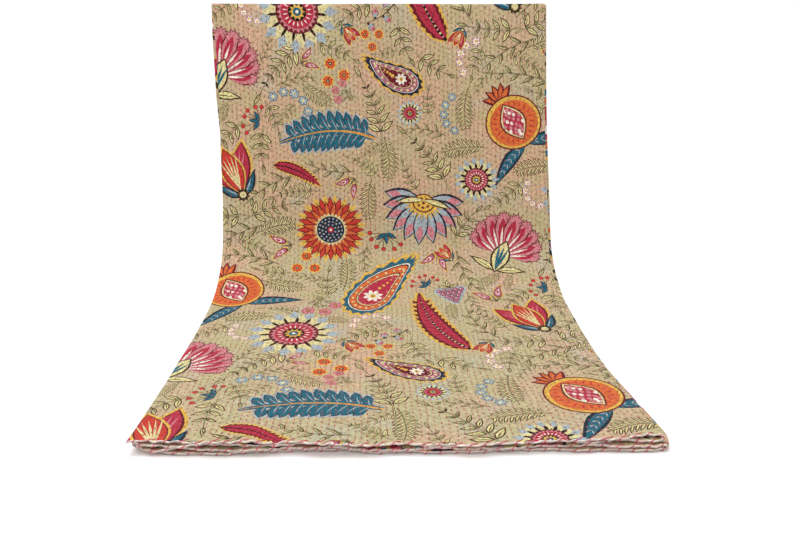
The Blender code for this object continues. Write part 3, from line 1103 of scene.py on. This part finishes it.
def side_of_cloth(shapes, is_face):
    """One side of the cloth, flat and cut along its print: points, triangles and inks."""
    points, triangles, inks = [], [], []
    for x0, x1, across, up in cell_columns(is_face):
        near = [shape for shape in shapes if shape[3][0] > x0 and shape[2][0] < x1]
        for y0, y1 in zip(UP_LINES, UP_LINES[1:]):
            cell_places, cell_triangles, cell_inks = cut_cell(x0, x1, y0, y1, across, up, near)
            triangles += (cell_triangles + len(points)).tolist()
            points += [(x, y, 0.0) for x, y in cell_places]
            inks += cell_inks
    mesh = bpy.data.meshes.new("flat_side")
    mesh.from_pydata(points, [], triangles)
    mesh.polygons.foreach_set("material_index", inks)
    joined = bmesh.new()
    joined.from_mesh(mesh)
    bmesh.ops.remove_doubles(joined, verts=joined.verts, dist=SAME_POINT)
    bmesh.ops.triangulate(joined, faces=joined.faces)
    joined.to_mesh(mesh)
    joined.free()
    points = np.zeros(len(mesh.vertices) * 3)
    triangles = np.zeros(len(mesh.polygons) * 3, int)
    inks = np.zeros(len(mesh.polygons), int)
    mesh.vertices.foreach_get("co", points)
    mesh.polygons.foreach_get("vertices", triangles)
    mesh.polygons.foreach_get("material_index", inks)
    bpy.data.meshes.remove(mesh)
    return points.reshape(-1, 3)[:, :2], triangles.reshape(-1, 3), inks


# Thinning a side leaves no edge longer than this and no outline off its line by more than this, as far as
# they weren't already. A triangle's stoutness is twice its area over its longest side squared.
LONGEST_EDGE = 14.0
STRAIGHT = 0.03
THINNEST, FLAT = 0.02, 1e-4
KEPT_UP, KEPT_ACROSS = 2.0, 3.0     # points this near an edge or a fold stay


def shape_of(triangle):
    """A triangle's stoutness, and its longest side squared."""
    (ax, ay), (bx, by), (cx, cy) = triangle
    steps = ((ax - bx, ay - by), (bx - cx, by - cy), (cx - ax, cy - ay))
    longest = max(x**2 + y**2 for x, y in steps)
    return ((bx - ax) * (cy - ay) - (by - ay) * (cx - ax)) / longest, longest


def on_line(point, first, last):
    """Whether a point lies on the straight line between two others."""
    (px, py), (ax, ay), (bx, by) = point, first, last
    long_way = math.hypot(bx - ax, by - ay)
    off_line = abs((bx - ax) * (py - ay) - (by - ay) * (px - ax))
    return off_line < STRAIGHT * long_way and (ax - px) * (bx - px) + (ay - py) * (by - py) < 0


def thinned(points, triangles, inks):
    """The same side with fewer points: those inside one ink, or on a straight outline, join a neighbour."""
    x, y = points.T
    inner = (y > HEM_STRIP + KEPT_UP) & (y < LENGTH_MM - KEPT_UP)
    inner &= (x > KEPT_ACROSS) & (x < WIDTH_MM - KEPT_ACROSS)
    for first, last, _, fold in STRIPS:
        inner &= (fold == 0) | (x < first * MM - KEPT_ACROSS) | (x > last * MM + KEPT_ACROSS)
    spots, corners, ink_of = points.tolist(), triangles.tolist(), inks.tolist()
    around = [set() for _ in spots]
    for number, triangle in enumerate(corners):
        for corner in triangle:
            around[corner].add(number)
    for point in np.flatnonzero(inner).tolist() * 2:
        # Its neighbours, each with the inks of the triangles that it shares with the point.
        ring = {}
        for number in around[point]:
            for corner in corners[number]:
                ring.setdefault(corner, []).append(ink_of[number])
        ring.pop(point, None)
        # A point on an outline may only join a neighbour along it, and stays where outlines meet or turn.
        outline = [corner for corner, both in ring.items() if both[0] != both[-1]]
        ends = [spots[corner] for corner in outline]
        if ends and (len(ends) != 2 or not on_line(spots[point], *ends)):
            continue
        # It joins the nearest neighbour that leaves no triangle thin, long or turned over.
        old = [shape_of([spots[n] for n in corners[number]]) for number in around[point]]
        stout = max(FLAT, min([THINNEST] + [shape[0] for shape in old]))
        long = max([LONGEST_EDGE**2] + [shape[1] for shape in old])
        px, py = spots[point]
        others = sorted(outline or ring, key=lambda n: (spots[n][0] - px) ** 2 + (spots[n][1] - py) ** 2)
        for other in others:
            moved = [number for number in around[point] if other not in corners[number]]
            new = []
            for number in moved:
                new.append(shape_of([spots[other if n == point else n] for n in corners[number]]))
            if any(shape[0] < stout or shape[1] > long for shape in new):
                continue
            for number in around[point].difference(moved):
                for corner in corners[number]:
                    around[corner] = around[corner] - {number} if corner != point else around[corner]
                corners[number] = None
            for number in moved:
                corners[number] = [other if n == point else n for n in corners[number]]
                around[other].add(number)
            around[point] = set()
            break
    kept = [number for number, triangle in enumerate(corners) if triangle]
    used, numbered = np.unique(np.array([corners[number] for number in kept]), return_inverse=True)
    return points[used], numbered.reshape(-1, 3), inks[kept]


def edge_of(triangles):
    """The edge of a side's triangles, as points in the order that the triangles turn."""
    pairs = np.vstack([triangles[:, [0, 1]], triangles[:, [1, 2]], triangles[:, [2, 0]]])
    there = set(map(tuple, pairs.tolist()))
    following = {a: b for a, b in there if (b, a) not in there}
    loop = [min(following)]
    while following[loop[-1]] != loop[0] and len(loop) <= len(following):
        loop.append(following[loop[-1]])
    if len(loop) != len(following):
        raise RuntimeError(f"the cloth has a gap: {len(loop)} of {len(following)} edge points")
    return loop


INK_NUMBERS = {ink: number + 1 for number, ink in enumerate(INKS)}
tile = whole_tile()
face = side_of_cloth(printed(tile, FACE_ZONES, FACE_START), True)
back = side_of_cloth(printed(tile, BACK_ZONES, BACK_START), False)
face_points, face_triangles, face_inks = thinned(*face)
back_points, back_triangles, back_inks = thinned(*back)


def round_the_edge(points):
    """Distance round the cloth's edge from the front hem's start to points of the edge."""
    x, y = points.T
    on_hem, on_right = y < SAME_POINT, x > WIDTH_MM - SAME_POINT
    on_top = y > LENGTH_MM - SAME_POINT
    up_side = np.where(on_right, WIDTH_MM + y, 2 * (WIDTH_MM + LENGTH_MM) - y)
    along_side = np.where(on_top, 2 * WIDTH_MM + LENGTH_MM - x, x)
    return np.where(on_hem | on_top, along_side, up_side) % (2 * (WIDTH_MM + LENGTH_MM))


def edge_in_order(points, triangles):
    """The points of a side's edge, and how far round the cloth each lies."""
    loop = np.array(edge_of(triangles))
    places = round_the_edge(points[loop])
    order = np.argsort(places)
    return loop[order], places[order]


def bridged(first, first_places, second, second_places):
    """Triangles between two neighbouring loops round the edge."""
    triangles = []
    a, b = 0, 0
    while a < len(first) or b < len(second):
        here, there = first[a % len(first)], second[b % len(second)]
        next_first = first_places[a] if a < len(first) else math.inf
        next_second = second_places[b] if b < len(second) else math.inf
        if next_first <= next_second:
            triangles.append((here, there, first[(a + 1) % len(first)]))
            a += 1
        else:
            triangles.append((here, there, second[(b + 1) % len(second)]))
            b += 1
    return np.array(triangles)


def mesh_piece(name, places, triangles, material):
    """A piece of smooth triangles that goes with the quilt."""
    mesh = bpy.data.meshes.new(name)
    mesh.from_pydata(places, [], triangles, shade_flat=False)
    mesh.materials.append(material)
    piece = bpy.data.objects.new(name, mesh)
    bpy.context.scene.collection.objects.link(piece)
    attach(piece, "root")
    return piece


# The cloth's texture map: the face of the top layer takes most of it. Each chart is the part of a side, by
# its ends across the cloth in millimetres, and its corner and size in the map.
CHARTS = (
    (1, 0.0, 572.5, 0.012, 0.010, 0.596, 0.980),
    (1, 1708.5, 2278.5, 0.640, 0.010, 0.345, 0.560),
    (1, 572.5, 1708.5, 0.640, 0.590, 0.345, 0.190),
    (-1, 0.0, 2278.5, 0.640, 0.800, 0.345, 0.185),
)
CHART_MARGIN = 2.0           # the rim is laid this far outside a chart


def beyond(values, last):
    """-1 at the cloth's first edge, 1 at its last and 0 between them."""
    return np.where(values < SAME_POINT, -1, np.where(values > last - SAME_POINT, 1, 0))


def add_bake_map(mesh, flat, side, triangles):
    """Lays every triangle in the chart of its side and place."""
    u, v = flat.T * MM
    middle = u[triangles].mean(axis=1)
    triangle_side = np.where(side[triangles].max(axis=1) > 0, 1, -1)
    uv = np.zeros((len(triangles), 3, 2))
    for chart_side, left, right, x, y, width, length in CHARTS:
        here = (triangle_side == chart_side) & (middle >= left) & (middle <= right)
        corners = triangles[here]
        outward = np.where(side[corners] == chart_side, 0.0, CHART_MARGIN)
        across = u[corners] + outward * beyond(u[corners], WIDTH_MM)
        up = v[corners] + outward * beyond(v[corners], LENGTH_MM)
        uv[here, :, 0] = x + (across - left) / (right - left) * width
        uv[here, :, 1] = y + up / LENGTH_MM * length
    layer = mesh.uv_layers.new(name="OFBake")
    layer.data.foreach_set("uv", uv.ravel())


UNPRINTED = (0, 0, 0, 0)     # an ink's colour is in red, green, blue and how much it covers, 0 to 255


def add_sheet(material):
    """The whole cloth, draped: both sides, and the rim between them with the groove of the hem's seam."""
    face_edge, face_places = edge_in_order(face_points, face_triangles)
    back_edge, back_places = edge_in_order(back_points, back_triangles)
    flat = np.vstack([face_points, back_points, face_points[face_edge]]) / MM
    side = np.repeat((1.0, -1.0, 0.0), (len(face_points), len(back_points), len(face_edge)))
    first_back, first_seam = len(face_points), len(face_points) + len(back_points)
    seam = np.arange(first_seam, len(flat))
    face_rim = bridged(face_edge, face_places, seam, face_places)
    back_rim = bridged(seam, face_places, back_edge + first_back, back_places)
    triangles = np.vstack([face_triangles, back_triangles[:, ::-1] + first_back, face_rim, back_rim])
    inks = np.zeros(len(triangles), int)
    inks[:len(face_inks) + len(back_inks)] = np.r_[face_inks, back_inks]
    u, v = flat.T
    sunk = np.where((side == 0) & (v < SAME_POINT / MM), SEAM_DEPTH, 0.0)
    places = draped(u, v + sunk, side * half_thickness(u, v))
    sheet = mesh_piece("quilted_cloth", places, triangles, material)
    stitching = np.c_[row_number(u, v), v / STITCH_PITCH, np.zeros(len(u))]
    for name, values in (("flat_place", np.c_[flat, side]), ("stitching", stitching)):
        attribute = sheet.data.attributes.new(name, "FLOAT_VECTOR", "POINT")
        attribute.data.foreach_set("vector", values.ravel())
    colours = np.array([UNPRINTED] + [(*colour, 255) for colour in INKS.values()]) / 255
    print_colour = sheet.data.attributes.new("print", "BYTE_COLOR", "CORNER")
    print_colour.data.foreach_set("color_srgb", np.repeat(colours[inks], 3, axis=0).ravel())
    add_bake_map(sheet.data, flat, side, triangles)
    sheet.data.validate()
    return sheet


def linear(red, green, blue):
    """A colour given in 0 to 255, as the shader takes it."""
    parts = np.array((red, green, blue)) / 255
    return (*np.where(parts <= 0.04045, parts / 12.92, ((parts + 0.055) / 1.055) ** 2.4), 1.0)


def add(tree, kind, inputs=(), **settings):
    """A new node: its settings, and its inputs as plain values or as other nodes' outputs."""
    node = tree.nodes.new(kind)
    for name, value in settings.items():
        setattr(node, name, value)
    for name, value in dict(inputs).items():
        if isinstance(value, bpy.types.NodeSocket):
            tree.links.new(value, node.inputs[name])
        else:
            node.inputs[name].default_value = value
    return node


def reckon(tree, operation, *values):
    """A Math node's output."""
    return add(tree, "ShaderNodeMath", enumerate(values), operation=operation).outputs[0]


def product(tree, first, second):
    """Two values multiplied."""
    return reckon(tree, "MULTIPLY", first, second)


def mixed(tree, factor, first, second, blend="MIX"):
    """A colour mixed from two."""
    inputs = {0: factor, 6: first, 7: second}
    return add(tree, "ShaderNodeMix", inputs, data_type="RGBA", blend_type=blend).outputs[2]


def spread(tree, value, low, high, to_low=0.0, to_high=1.0, kind="LINEAR"):
    """A value between low and high, spread from to_low to to_high."""
    inputs = {"Value": value, "From Min": low, "From Max": high, "To Min": to_low, "To Max": to_high}
    return add(tree, "ShaderNodeMapRange", inputs, interpolation_type=kind).outputs["Result"]


def noise(tree, vector, scale, detail):
    """Soft noise, mostly from 0.3 to 0.7."""
    inputs = {"Vector": vector, "Scale": scale, "Detail": detail}
    return add(tree, "ShaderNodeTexNoise", inputs).outputs["Fac"]


def cloudy(tree, vector, scale, detail, low, high):
    """A mask from 0 to 1 of soft, irregular patches."""
    return spread(tree, noise(tree, vector, scale, detail), low, high)


GROUND_TAN = (174, 159, 123)
GROUND_PINK = (187, 153, 125)
GROUND_STRAW = (171, 160, 117)
GROUND_GREY = (168, 164, 146)
ROW_PINK = (168, 128, 106)
FRONT_TINT = (0.98, 1.05, 1.07, 1.0)
INK_UNEVEN = (150, 120, 100)
# The hem's pale edge: partly the pale cloth, partly a painted highlight on its crest.
HEM_CREAM_HIGHLIGHT = (252, 245, 238)
HEM_ROSE = (236, 176, 172)
# Painted shade for the groove of the hem's seam.
SEAM_PAINTED_SHADE = (104, 58, 58)
ROW_NARROWNESS = 5.2
SLUBS = ((1500.0, 90.0, 1.0), (90.0, 1500.0, 1.0))


def printed_cotton():
    """Block-printed cotton: mottled ground, slubby weave, inks that vary, the draw of the stitches, painted
    shade in its puckers and hem seam, and a painted highlight on the hem's edge.
    """
    material = bpy.data.materials.new("printed_cotton")
    material.use_nodes = True
    tree = material.node_tree
    shader = tree.nodes["Principled BSDF"]
    place = add(tree, "ShaderNodeAttribute", attribute_name="flat_place").outputs["Vector"]
    ink = add(tree, "ShaderNodeAttribute", attribute_name="print")
    stitching = add(tree, "ShaderNodeAttribute", attribute_name="stitching").outputs["Vector"]
    stitched = add(tree, "ShaderNodeSeparateXYZ", {0: stitching})
    flat = add(tree, "ShaderNodeSeparateXYZ", {0: place})
    # The ground.
    pinker = cloudy(tree, place, 7.0, 3.0, 0.42, 0.62)
    straw = cloudy(tree, place, 26.0, 3.0, 0.48, 0.66)
    grey = cloudy(tree, place, 17.0, 4.0, 0.53, 0.70)
    ground = mixed(tree, pinker, linear(*GROUND_TAN), linear(*GROUND_PINK))
    ground = mixed(tree, product(tree, straw, 0.8), ground, linear(*GROUND_STRAW))
    ground = mixed(tree, product(tree, grey, 0.6), ground, linear(*GROUND_GREY))
    # The stitched rows: how near a row is, and where on it a stitch is.
    row = reckon(tree, "ROUND", stitched.outputs["X"])
    off_row = product(tree, reckon(tree, "SUBTRACT", stitched.outputs["X"], row), ROW_NARROWNESS)
    near_row = reckon(tree, "EXPONENT", product(tree, product(tree, off_row, off_row), -1.0))
    beats = reckon(tree, "SUBTRACT", stitched.outputs["Y"], product(tree, row, ROW_SHIFT))
    beat = reckon(tree, "MULTIPLY_ADD", reckon(tree, "COSINE", product(tree, beats, math.tau)), 0.35, 0.65)
    glimpsed = product(tree, near_row, cloudy(tree, place, 31.0, 2.0, 0.42, 0.66))
    ground = mixed(tree, product(tree, glimpsed, 0.52), ground, linear(*ROW_PINK))
    # It is a little greener towards the front hem.
    greener = spread(tree, flat.outputs["Y"], 0.64, 0.42, kind="SMOOTHSTEP")
    ground = mixed(tree, greener, ground, FRONT_TINT, "MULTIPLY")
    # The inks, a little worn.
    worn = cloudy(tree, place, 330.0, 4.0, 0.56, 0.74)
    uneven = cloudy(tree, place, 90.0, 3.0, 0.25, 0.75)
    printed_ink = mixed(tree, product(tree, worn, 0.22), ink.outputs["Color"], ground)
    printed_ink = mixed(tree, product(tree, uneven, 0.22), printed_ink, linear(*INK_UNEVEN), "MULTIPLY")
    colour = mixed(tree, ink.outputs["Alpha"], ground, printed_ink)
    # The turned hem's edge is pale cream and rose, partly the pale cloth it shows and partly a painted
    # highlight on its crest; the groove of the seam between its two turned edges is painted shade.
    hem = spread(tree, flat.outputs["Y"], 0.0013, 0.0003, kind="SMOOTHSTEP")
    pale_and_highlit = spread(tree, cloudy(tree, place, 110.0, 2.0, 0.40, 0.60), 0.0, 1.0, 0.62, 1.00)
    rosy = cloudy(tree, place, 75.0, 2.0, 0.47, 0.62)
    highlit_hem_edge = mixed(tree, rosy, linear(*HEM_CREAM_HIGHLIGHT), linear(*HEM_ROSE))
    colour = mixed(tree, product(tree, hem, pale_and_highlit), colour, highlit_hem_edge)
    # Painted shade darkens the seam's groove, where the two turned edges meet.
    seam = spread(tree, reckon(tree, "ABSOLUTE", flat.outputs["Z"]), 0.40, 0.05)
    colour = mixed(tree, product(tree, seam, 0.42), colour, linear(*SEAM_PAINTED_SHADE))
    # The weave: slubs up and across the cloth that vary its tone, and painted light and shade where it
    # puckers, both multiplied into the colour.
    slubs = []
    for stretch in SLUBS:
        stretched = add(tree, "ShaderNodeVectorMath", {0: place, 1: stretch}, operation="MULTIPLY")
        slubs.append(noise(tree, stretched.outputs[0], 1.0, 2.0))
    threads = product(tree, reckon(tree, "ADD", *slubs), 0.5)
    # Painted light and shade of the puckers, on top of their bump below.
    painted_pucker_shade = spread(tree, noise(tree, place, 210.0, 3.0), 0.30, 0.70, 0.74, 1.24)
    slub_tone_and_painted_shade = product(tree, spread(tree, threads, 0.35, 0.65, 0.88, 1.11), painted_pucker_shade)
    toned_and_shaded_colour = add(tree, "ShaderNodeCombineColor", {0: slub_tone_and_painted_shade, 1: slub_tone_and_painted_shade, 2: slub_tone_and_painted_shade}).outputs[0]
    tree.links.new(mixed(tree, 1.0, colour, toned_and_shaded_colour, "MULTIPLY"), shader.inputs["Base Color"])
    tree.links.new(spread(tree, threads, 0.0, 1.0, 0.78, 0.98), shader.inputs["Roughness"])
    shader.inputs["Specular IOR Level"].default_value = 0.12
    shader.inputs["Sheen Weight"].default_value = 0.05
    shader.inputs["Sheen Roughness"].default_value = 0.5
    # Relief: the valley of each row, deepest at the stitches, over soft puckers and the weave.
    valley = product(tree, product(tree, near_row, beat), -0.55)
    relief = reckon(tree, "ADD", valley, product(tree, noise(tree, place, 120.0, 2.0), 0.8))
    relief = reckon(tree, "MULTIPLY_ADD", threads, 0.12, relief)
    bump = add(tree, "ShaderNodeBump", {"Strength": 0.8, "Distance": 0.0007, "Height": relief})
    tree.links.new(bump.outputs["Normal"], shader.inputs["Normal"])
    return material


quilted_cloth = add_sheet(printed_cotton())
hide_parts("quilt")


# ---- Running stitches
# Red cotton thread, sewn by hand through the whole quilt in rows up its length. Each stitch is a short
# strand that lies on the cloth and dives into it at both ends.
STITCH_LENGTH = 0.0043
SHORTEST, LONGEST = 0.65, 1.20      # shares of it
STITCH_HALF_WIDTH = 0.00066
STRAY_ALONG, STRAY_ASIDE, SLANT = 0.0009, 0.00035, 0.20     # the slant in radians
DEEPEST = 0.18534                   # how far the most sunken ones lie in the cloth, in millimetres
FEW_DEEP = 1.4                      # a power, with fewer deep ones the higher it is
FIRST_STITCH, LAST_STITCH = 0.008, 0.004    # how far the rows stay from the front hem and the top edge
# The threads show on the stack's two outer faces, between these places across the cloth.
TOP_SPAN, UNDER_SPAN = (0.002, 0.574), (1.7080, CLOTH_WIDTH - 0.002)
THREAD_RED, THREAD_FADED = (140, 26, 40), (160, 68, 66)


def thread_twist():
    """What every thread shares: colour that is uneven along the rows, and the relief of its twist."""
    group = bpy.data.node_groups.new("thread_twist", "ShaderNodeTree")
    for name in ("Colour", "Faded"):
        group.interface.new_socket(name, in_out="INPUT", socket_type="NodeSocketColor")
    group.interface.new_socket("Colour", in_out="OUTPUT", socket_type="NodeSocketColor")
    group.interface.new_socket("Normal", in_out="OUTPUT", socket_type="NodeSocketVector")
    given, result = add(group, "NodeGroupInput"), add(group, "NodeGroupOutput")
    place = add(group, "ShaderNodeTexCoord").outputs["Object"]
    faded = cloudy(group, place, 70.0, 2.0, 0.35, 0.70)
    colour = mixed(group, faded, given.outputs["Colour"], given.outputs["Faded"])
    twist = noise(group, place, 2200.0, 1.0)
    bump = add(group, "ShaderNodeBump", {"Strength": 0.5, "Distance": 0.0002, "Height": twist})
    group.links.new(colour, result.inputs["Colour"])
    group.links.new(bump.outputs["Normal"], result.inputs["Normal"])
    return group


def thread_cotton(name, twist, colour, faded):
    """Twisted cotton thread."""
    material = bpy.data.materials.new(name)
    material.use_nodes = True
    tree = material.node_tree
    shader = tree.nodes["Principled BSDF"]
    colours = {"Colour": linear(*colour), "Faded": linear(*faded)}
    thread = add(tree, "ShaderNodeGroup", colours, node_tree=twist)
    tree.links.new(thread.outputs["Colour"], shader.inputs["Base Color"])
    tree.links.new(thread.outputs["Normal"], shader.inputs["Normal"])
    shader.inputs["Roughness"].default_value = 0.75
    shader.inputs["Sheen Weight"].default_value = 0.2
    return material


def stitch_places(first_u, last_u, seed):
    """Middles, lengths, slants and depths of the running stitches between two places across the cloth."""
    chance = np.random.default_rng(seed)
    places = []
    count = int((CLOTH_LENGTH - FIRST_STITCH - LAST_STITCH) / STITCH_PITCH)
    for row in range(math.ceil(first_u / ROW_SPACING + 0.5), math.floor(last_u / ROW_SPACING - 0.5) + 1):
        beat = (row * ROW_SHIFT) % 1.0
        v = (np.arange(count) + 1 + beat) * STITCH_PITCH + chance.normal(0.0, STRAY_ALONG, count)
        u = row * ROW_SPACING - row_wander(np.full(count, row * ROW_SPACING), v)
        u = u + chance.normal(0.0, STRAY_ASIDE, count)
        length = STITCH_LENGTH * chance.uniform(SHORTEST, LONGEST, count)
        slant = chance.normal(0.0, SLANT, count)
        sunk = DEEPEST * chance.uniform(0.0, 1.0, count) ** FEW_DEEP
        keep = (v > FIRST_STITCH) & (v < CLOTH_LENGTH - LAST_STITCH)
        places.append(np.c_[u, v, length, slant, sunk][keep])
    return np.vstack(places)


def strand(rings, corners):
    """Faces of a closed strand: rings of corners with a tip at each end."""
    faces = []
    for ring in range(rings - 1):
        for corner in range(corners):
            first, second = ring * corners + corner, ring * corners + (corner + 1) % corners
            faces += [(first, second + corners, second), (first, first + corners, second + corners)]
    low_tip, high_tip, last = rings * corners, rings * corners + 1, (rings - 1) * corners
    for corner in range(corners):
        following = (corner + 1) % corners
        faces.append((low_tip, corner, following))
        faces.append((high_tip, last + following, last + corner))
    return np.array(faces)


def sewn(name, u, v, proud, template, material):
    """One piece of many strands: each row of u, v and proud is a strand's points."""
    count, size = u.shape
    starts = np.arange(count) * size
    triangles = (template + starts[:, None, None]).reshape(-1, 3)
    piece = mesh_piece(name, draped(u.ravel(), v.ravel(), proud.ravel()), triangles, material)
    return piece


# One stitch, ring by ring and then its tips: shares of its length and of its half-width, and heights over
# the cloth in millimetres.
STITCH_RINGS = (-0.33, 0.0, 0.33)
STITCH_CORNERS = ((-1.0, 0.08), (0.0, -0.35), (1.0, 0.08), (0.0, 0.58))
STITCH_TIPS = ((-0.5, 0.0, -0.25), (0.5, 0.0, -0.25))


def running_stitches(name, first_u, last_u, seed, material):
    """The running stitches that show between two places across the cloth, as one piece."""
    points = [(ring, *corner) for ring in STITCH_RINGS for corner in STITCH_CORNERS]
    along, across, up = np.array(points + list(STITCH_TIPS)).T
    places = stitch_places(first_u, last_u, seed)
    middle_u, middle_v, length, slant, sunk = (column[:, None] for column in places.T)
    s, w = along * length, across * STITCH_HALF_WIDTH
    u = middle_u + w * np.cos(slant) + s * np.sin(slant)
    v = middle_v - w * np.sin(slant) + s * np.cos(slant)
    proud = half_thickness(u, v) + (up - sunk) / MM
    return sewn(name, u, v, proud, strand(len(STITCH_RINGS), len(STITCH_CORNERS)), material)


twisted = thread_twist()
stitch_thread = thread_cotton("stitch_thread", twisted, THREAD_RED, THREAD_FADED)
top_stitches = running_stitches("top_stitches", *TOP_SPAN, 11, stitch_thread)
under_stitches = running_stitches("under_stitches", *UNDER_SPAN, 12, stitch_thread)


# ---- Whipped hems
# A thicker thread of a softer red winds round both turned edges of the front hem, all the way across the
# folded cloth. It closes the hem and pulls it in a little at each turn.
WHIP_RADIUS = 0.00054
WHIP_RUN = 0.0088            # sideways run of the thread on each side of the hem
WHIP_REACH = 0.0064          # how far up from the edge it goes into the cloth
RUN_SHARES, REACH_SHARES = (0.75, 1.15), (0.75, 1.25)
WHIP_STRAY = 0.0009
WHIP_INSIDE = 0.002          # the cloth's side edges stay this far outside the thread
# Its middle line, point by point: shares of its run and reach, and height over the cloth in millimetres.
WHIP_LINE = (
    (-1.0, 1.0, -0.6), (-0.82, 0.80, 0.30), (-0.45, 0.42, 0.42), (-0.12, 0.06, 0.40), (0.0, -0.09, 0.0),
    (0.12, 0.06, 0.40), (0.45, 0.42, 0.42), (0.82, 0.80, 0.30), (1.0, 1.0, -0.6),
)
WHIP_CORNERS = 5
HEM_RED, HEM_FADED = (166, 36, 58), (204, 88, 100)


def whipping(material):
    """The whipping stitches of the whole front hem, as one piece."""
    chance = np.random.default_rng(5)
    count = int(CLOTH_WIDTH / HEM_PITCH)
    middle = (np.arange(count) + 0.5) * HEM_PITCH + chance.normal(0.0, WHIP_STRAY, count)
    run = WHIP_RUN * chance.uniform(*RUN_SHARES, count)
    run = np.minimum(run, np.minimum(middle, CLOTH_WIDTH - middle) - WHIP_INSIDE)
    reach = WHIP_REACH * chance.uniform(*REACH_SHARES, count)
    steps, up, over = np.array(WHIP_LINE).T
    u, v = middle[:, None] + run[:, None] * steps, reach[:, None] * up
    proud = np.sign(steps) * (half_thickness(u, np.maximum(v, 0.0)) + over / MM)
    centre = np.stack([u, v, proud], axis=2)
    direction = np.gradient(centre, axis=1)
    direction /= np.linalg.norm(direction, axis=2)[..., None]
    aside = np.cross(direction, (0.0, 0.0, 1.0))
    aside /= np.linalg.norm(aside, axis=2)[..., None]
    upward = np.cross(aside, direction)
    rings = []
    for angle in np.arange(WHIP_CORNERS) * math.tau / WHIP_CORNERS:
        rings.append(centre + WHIP_RADIUS * (math.cos(angle) * aside + math.sin(angle) * upward))
    body = np.stack(rings, axis=2).reshape(count, -1, 3)
    tips = centre[:, [0, -1]] + direction[:, [0, -1]] * np.array([[-WHIP_RADIUS], [WHIP_RADIUS]])
    u, v, proud = np.moveaxis(np.concatenate([body, tips], axis=1), 2, 0)
    return sewn("hem_whipping", u, v, proud, strand(len(WHIP_LINE), WHIP_CORNERS), material)


hem_thread = thread_cotton("hem_thread", twisted, HEM_RED, HEM_FADED)
hem_whipping = whipping(hem_thread)


# ---- The room
# A plain white floor and even white light from all round, with one large soft lamp above the front.
FLOOR_SIZE, FLOOR_HEIGHT = 8.0, -0.0015
FLOOR_WHITE = (0.95, 0.95, 0.95, 1.0)
ROOM_LIGHT = 1.06
LAMP_PLACE, LAMP_AIM = Vector((-0.45, 0.02, 2.1)), Vector((0.0, -0.35, 0.0))
LAMP_SIZE, LAMP_WATTS = 1.3, 22.0
bpy.ops.object.select_all(action="DESELECT")
bpy.ops.mesh.primitive_plane_add(size=FLOOR_SIZE, location=(0.0, 0.0, FLOOR_HEIGHT))
floor = bpy.context.object
floor.name = "floor"
bpy.ops.object.transform_apply(location=True, rotation=True, scale=True)
floor_paint = bpy.data.materials.new("floor_paint")
floor_paint.use_nodes = True
floor_shader = floor_paint.node_tree.nodes["Principled BSDF"]
floor_shader.inputs["Base Color"].default_value = FLOOR_WHITE
floor_shader.inputs["Roughness"].default_value = 1.0
floor_shader.inputs["Specular IOR Level"].default_value = 0.0
floor.data.materials.append(floor_paint)

world = bpy.data.worlds.new("white_room")
bpy.context.scene.world = world
world.use_nodes = True
world.node_tree.nodes["Background"].inputs["Color"].default_value = (1.0, 1.0, 1.0, 1.0)
world.node_tree.nodes["Background"].inputs["Strength"].default_value = ROOM_LIGHT
bpy.ops.object.light_add(type="AREA", location=LAMP_PLACE)
lamp = bpy.context.object
lamp.data.size = LAMP_SIZE
lamp.data.energy = LAMP_WATTS
lamp.rotation_euler = (LAMP_AIM - lamp.location).to_track_quat("-Z", "Y").to_euler()
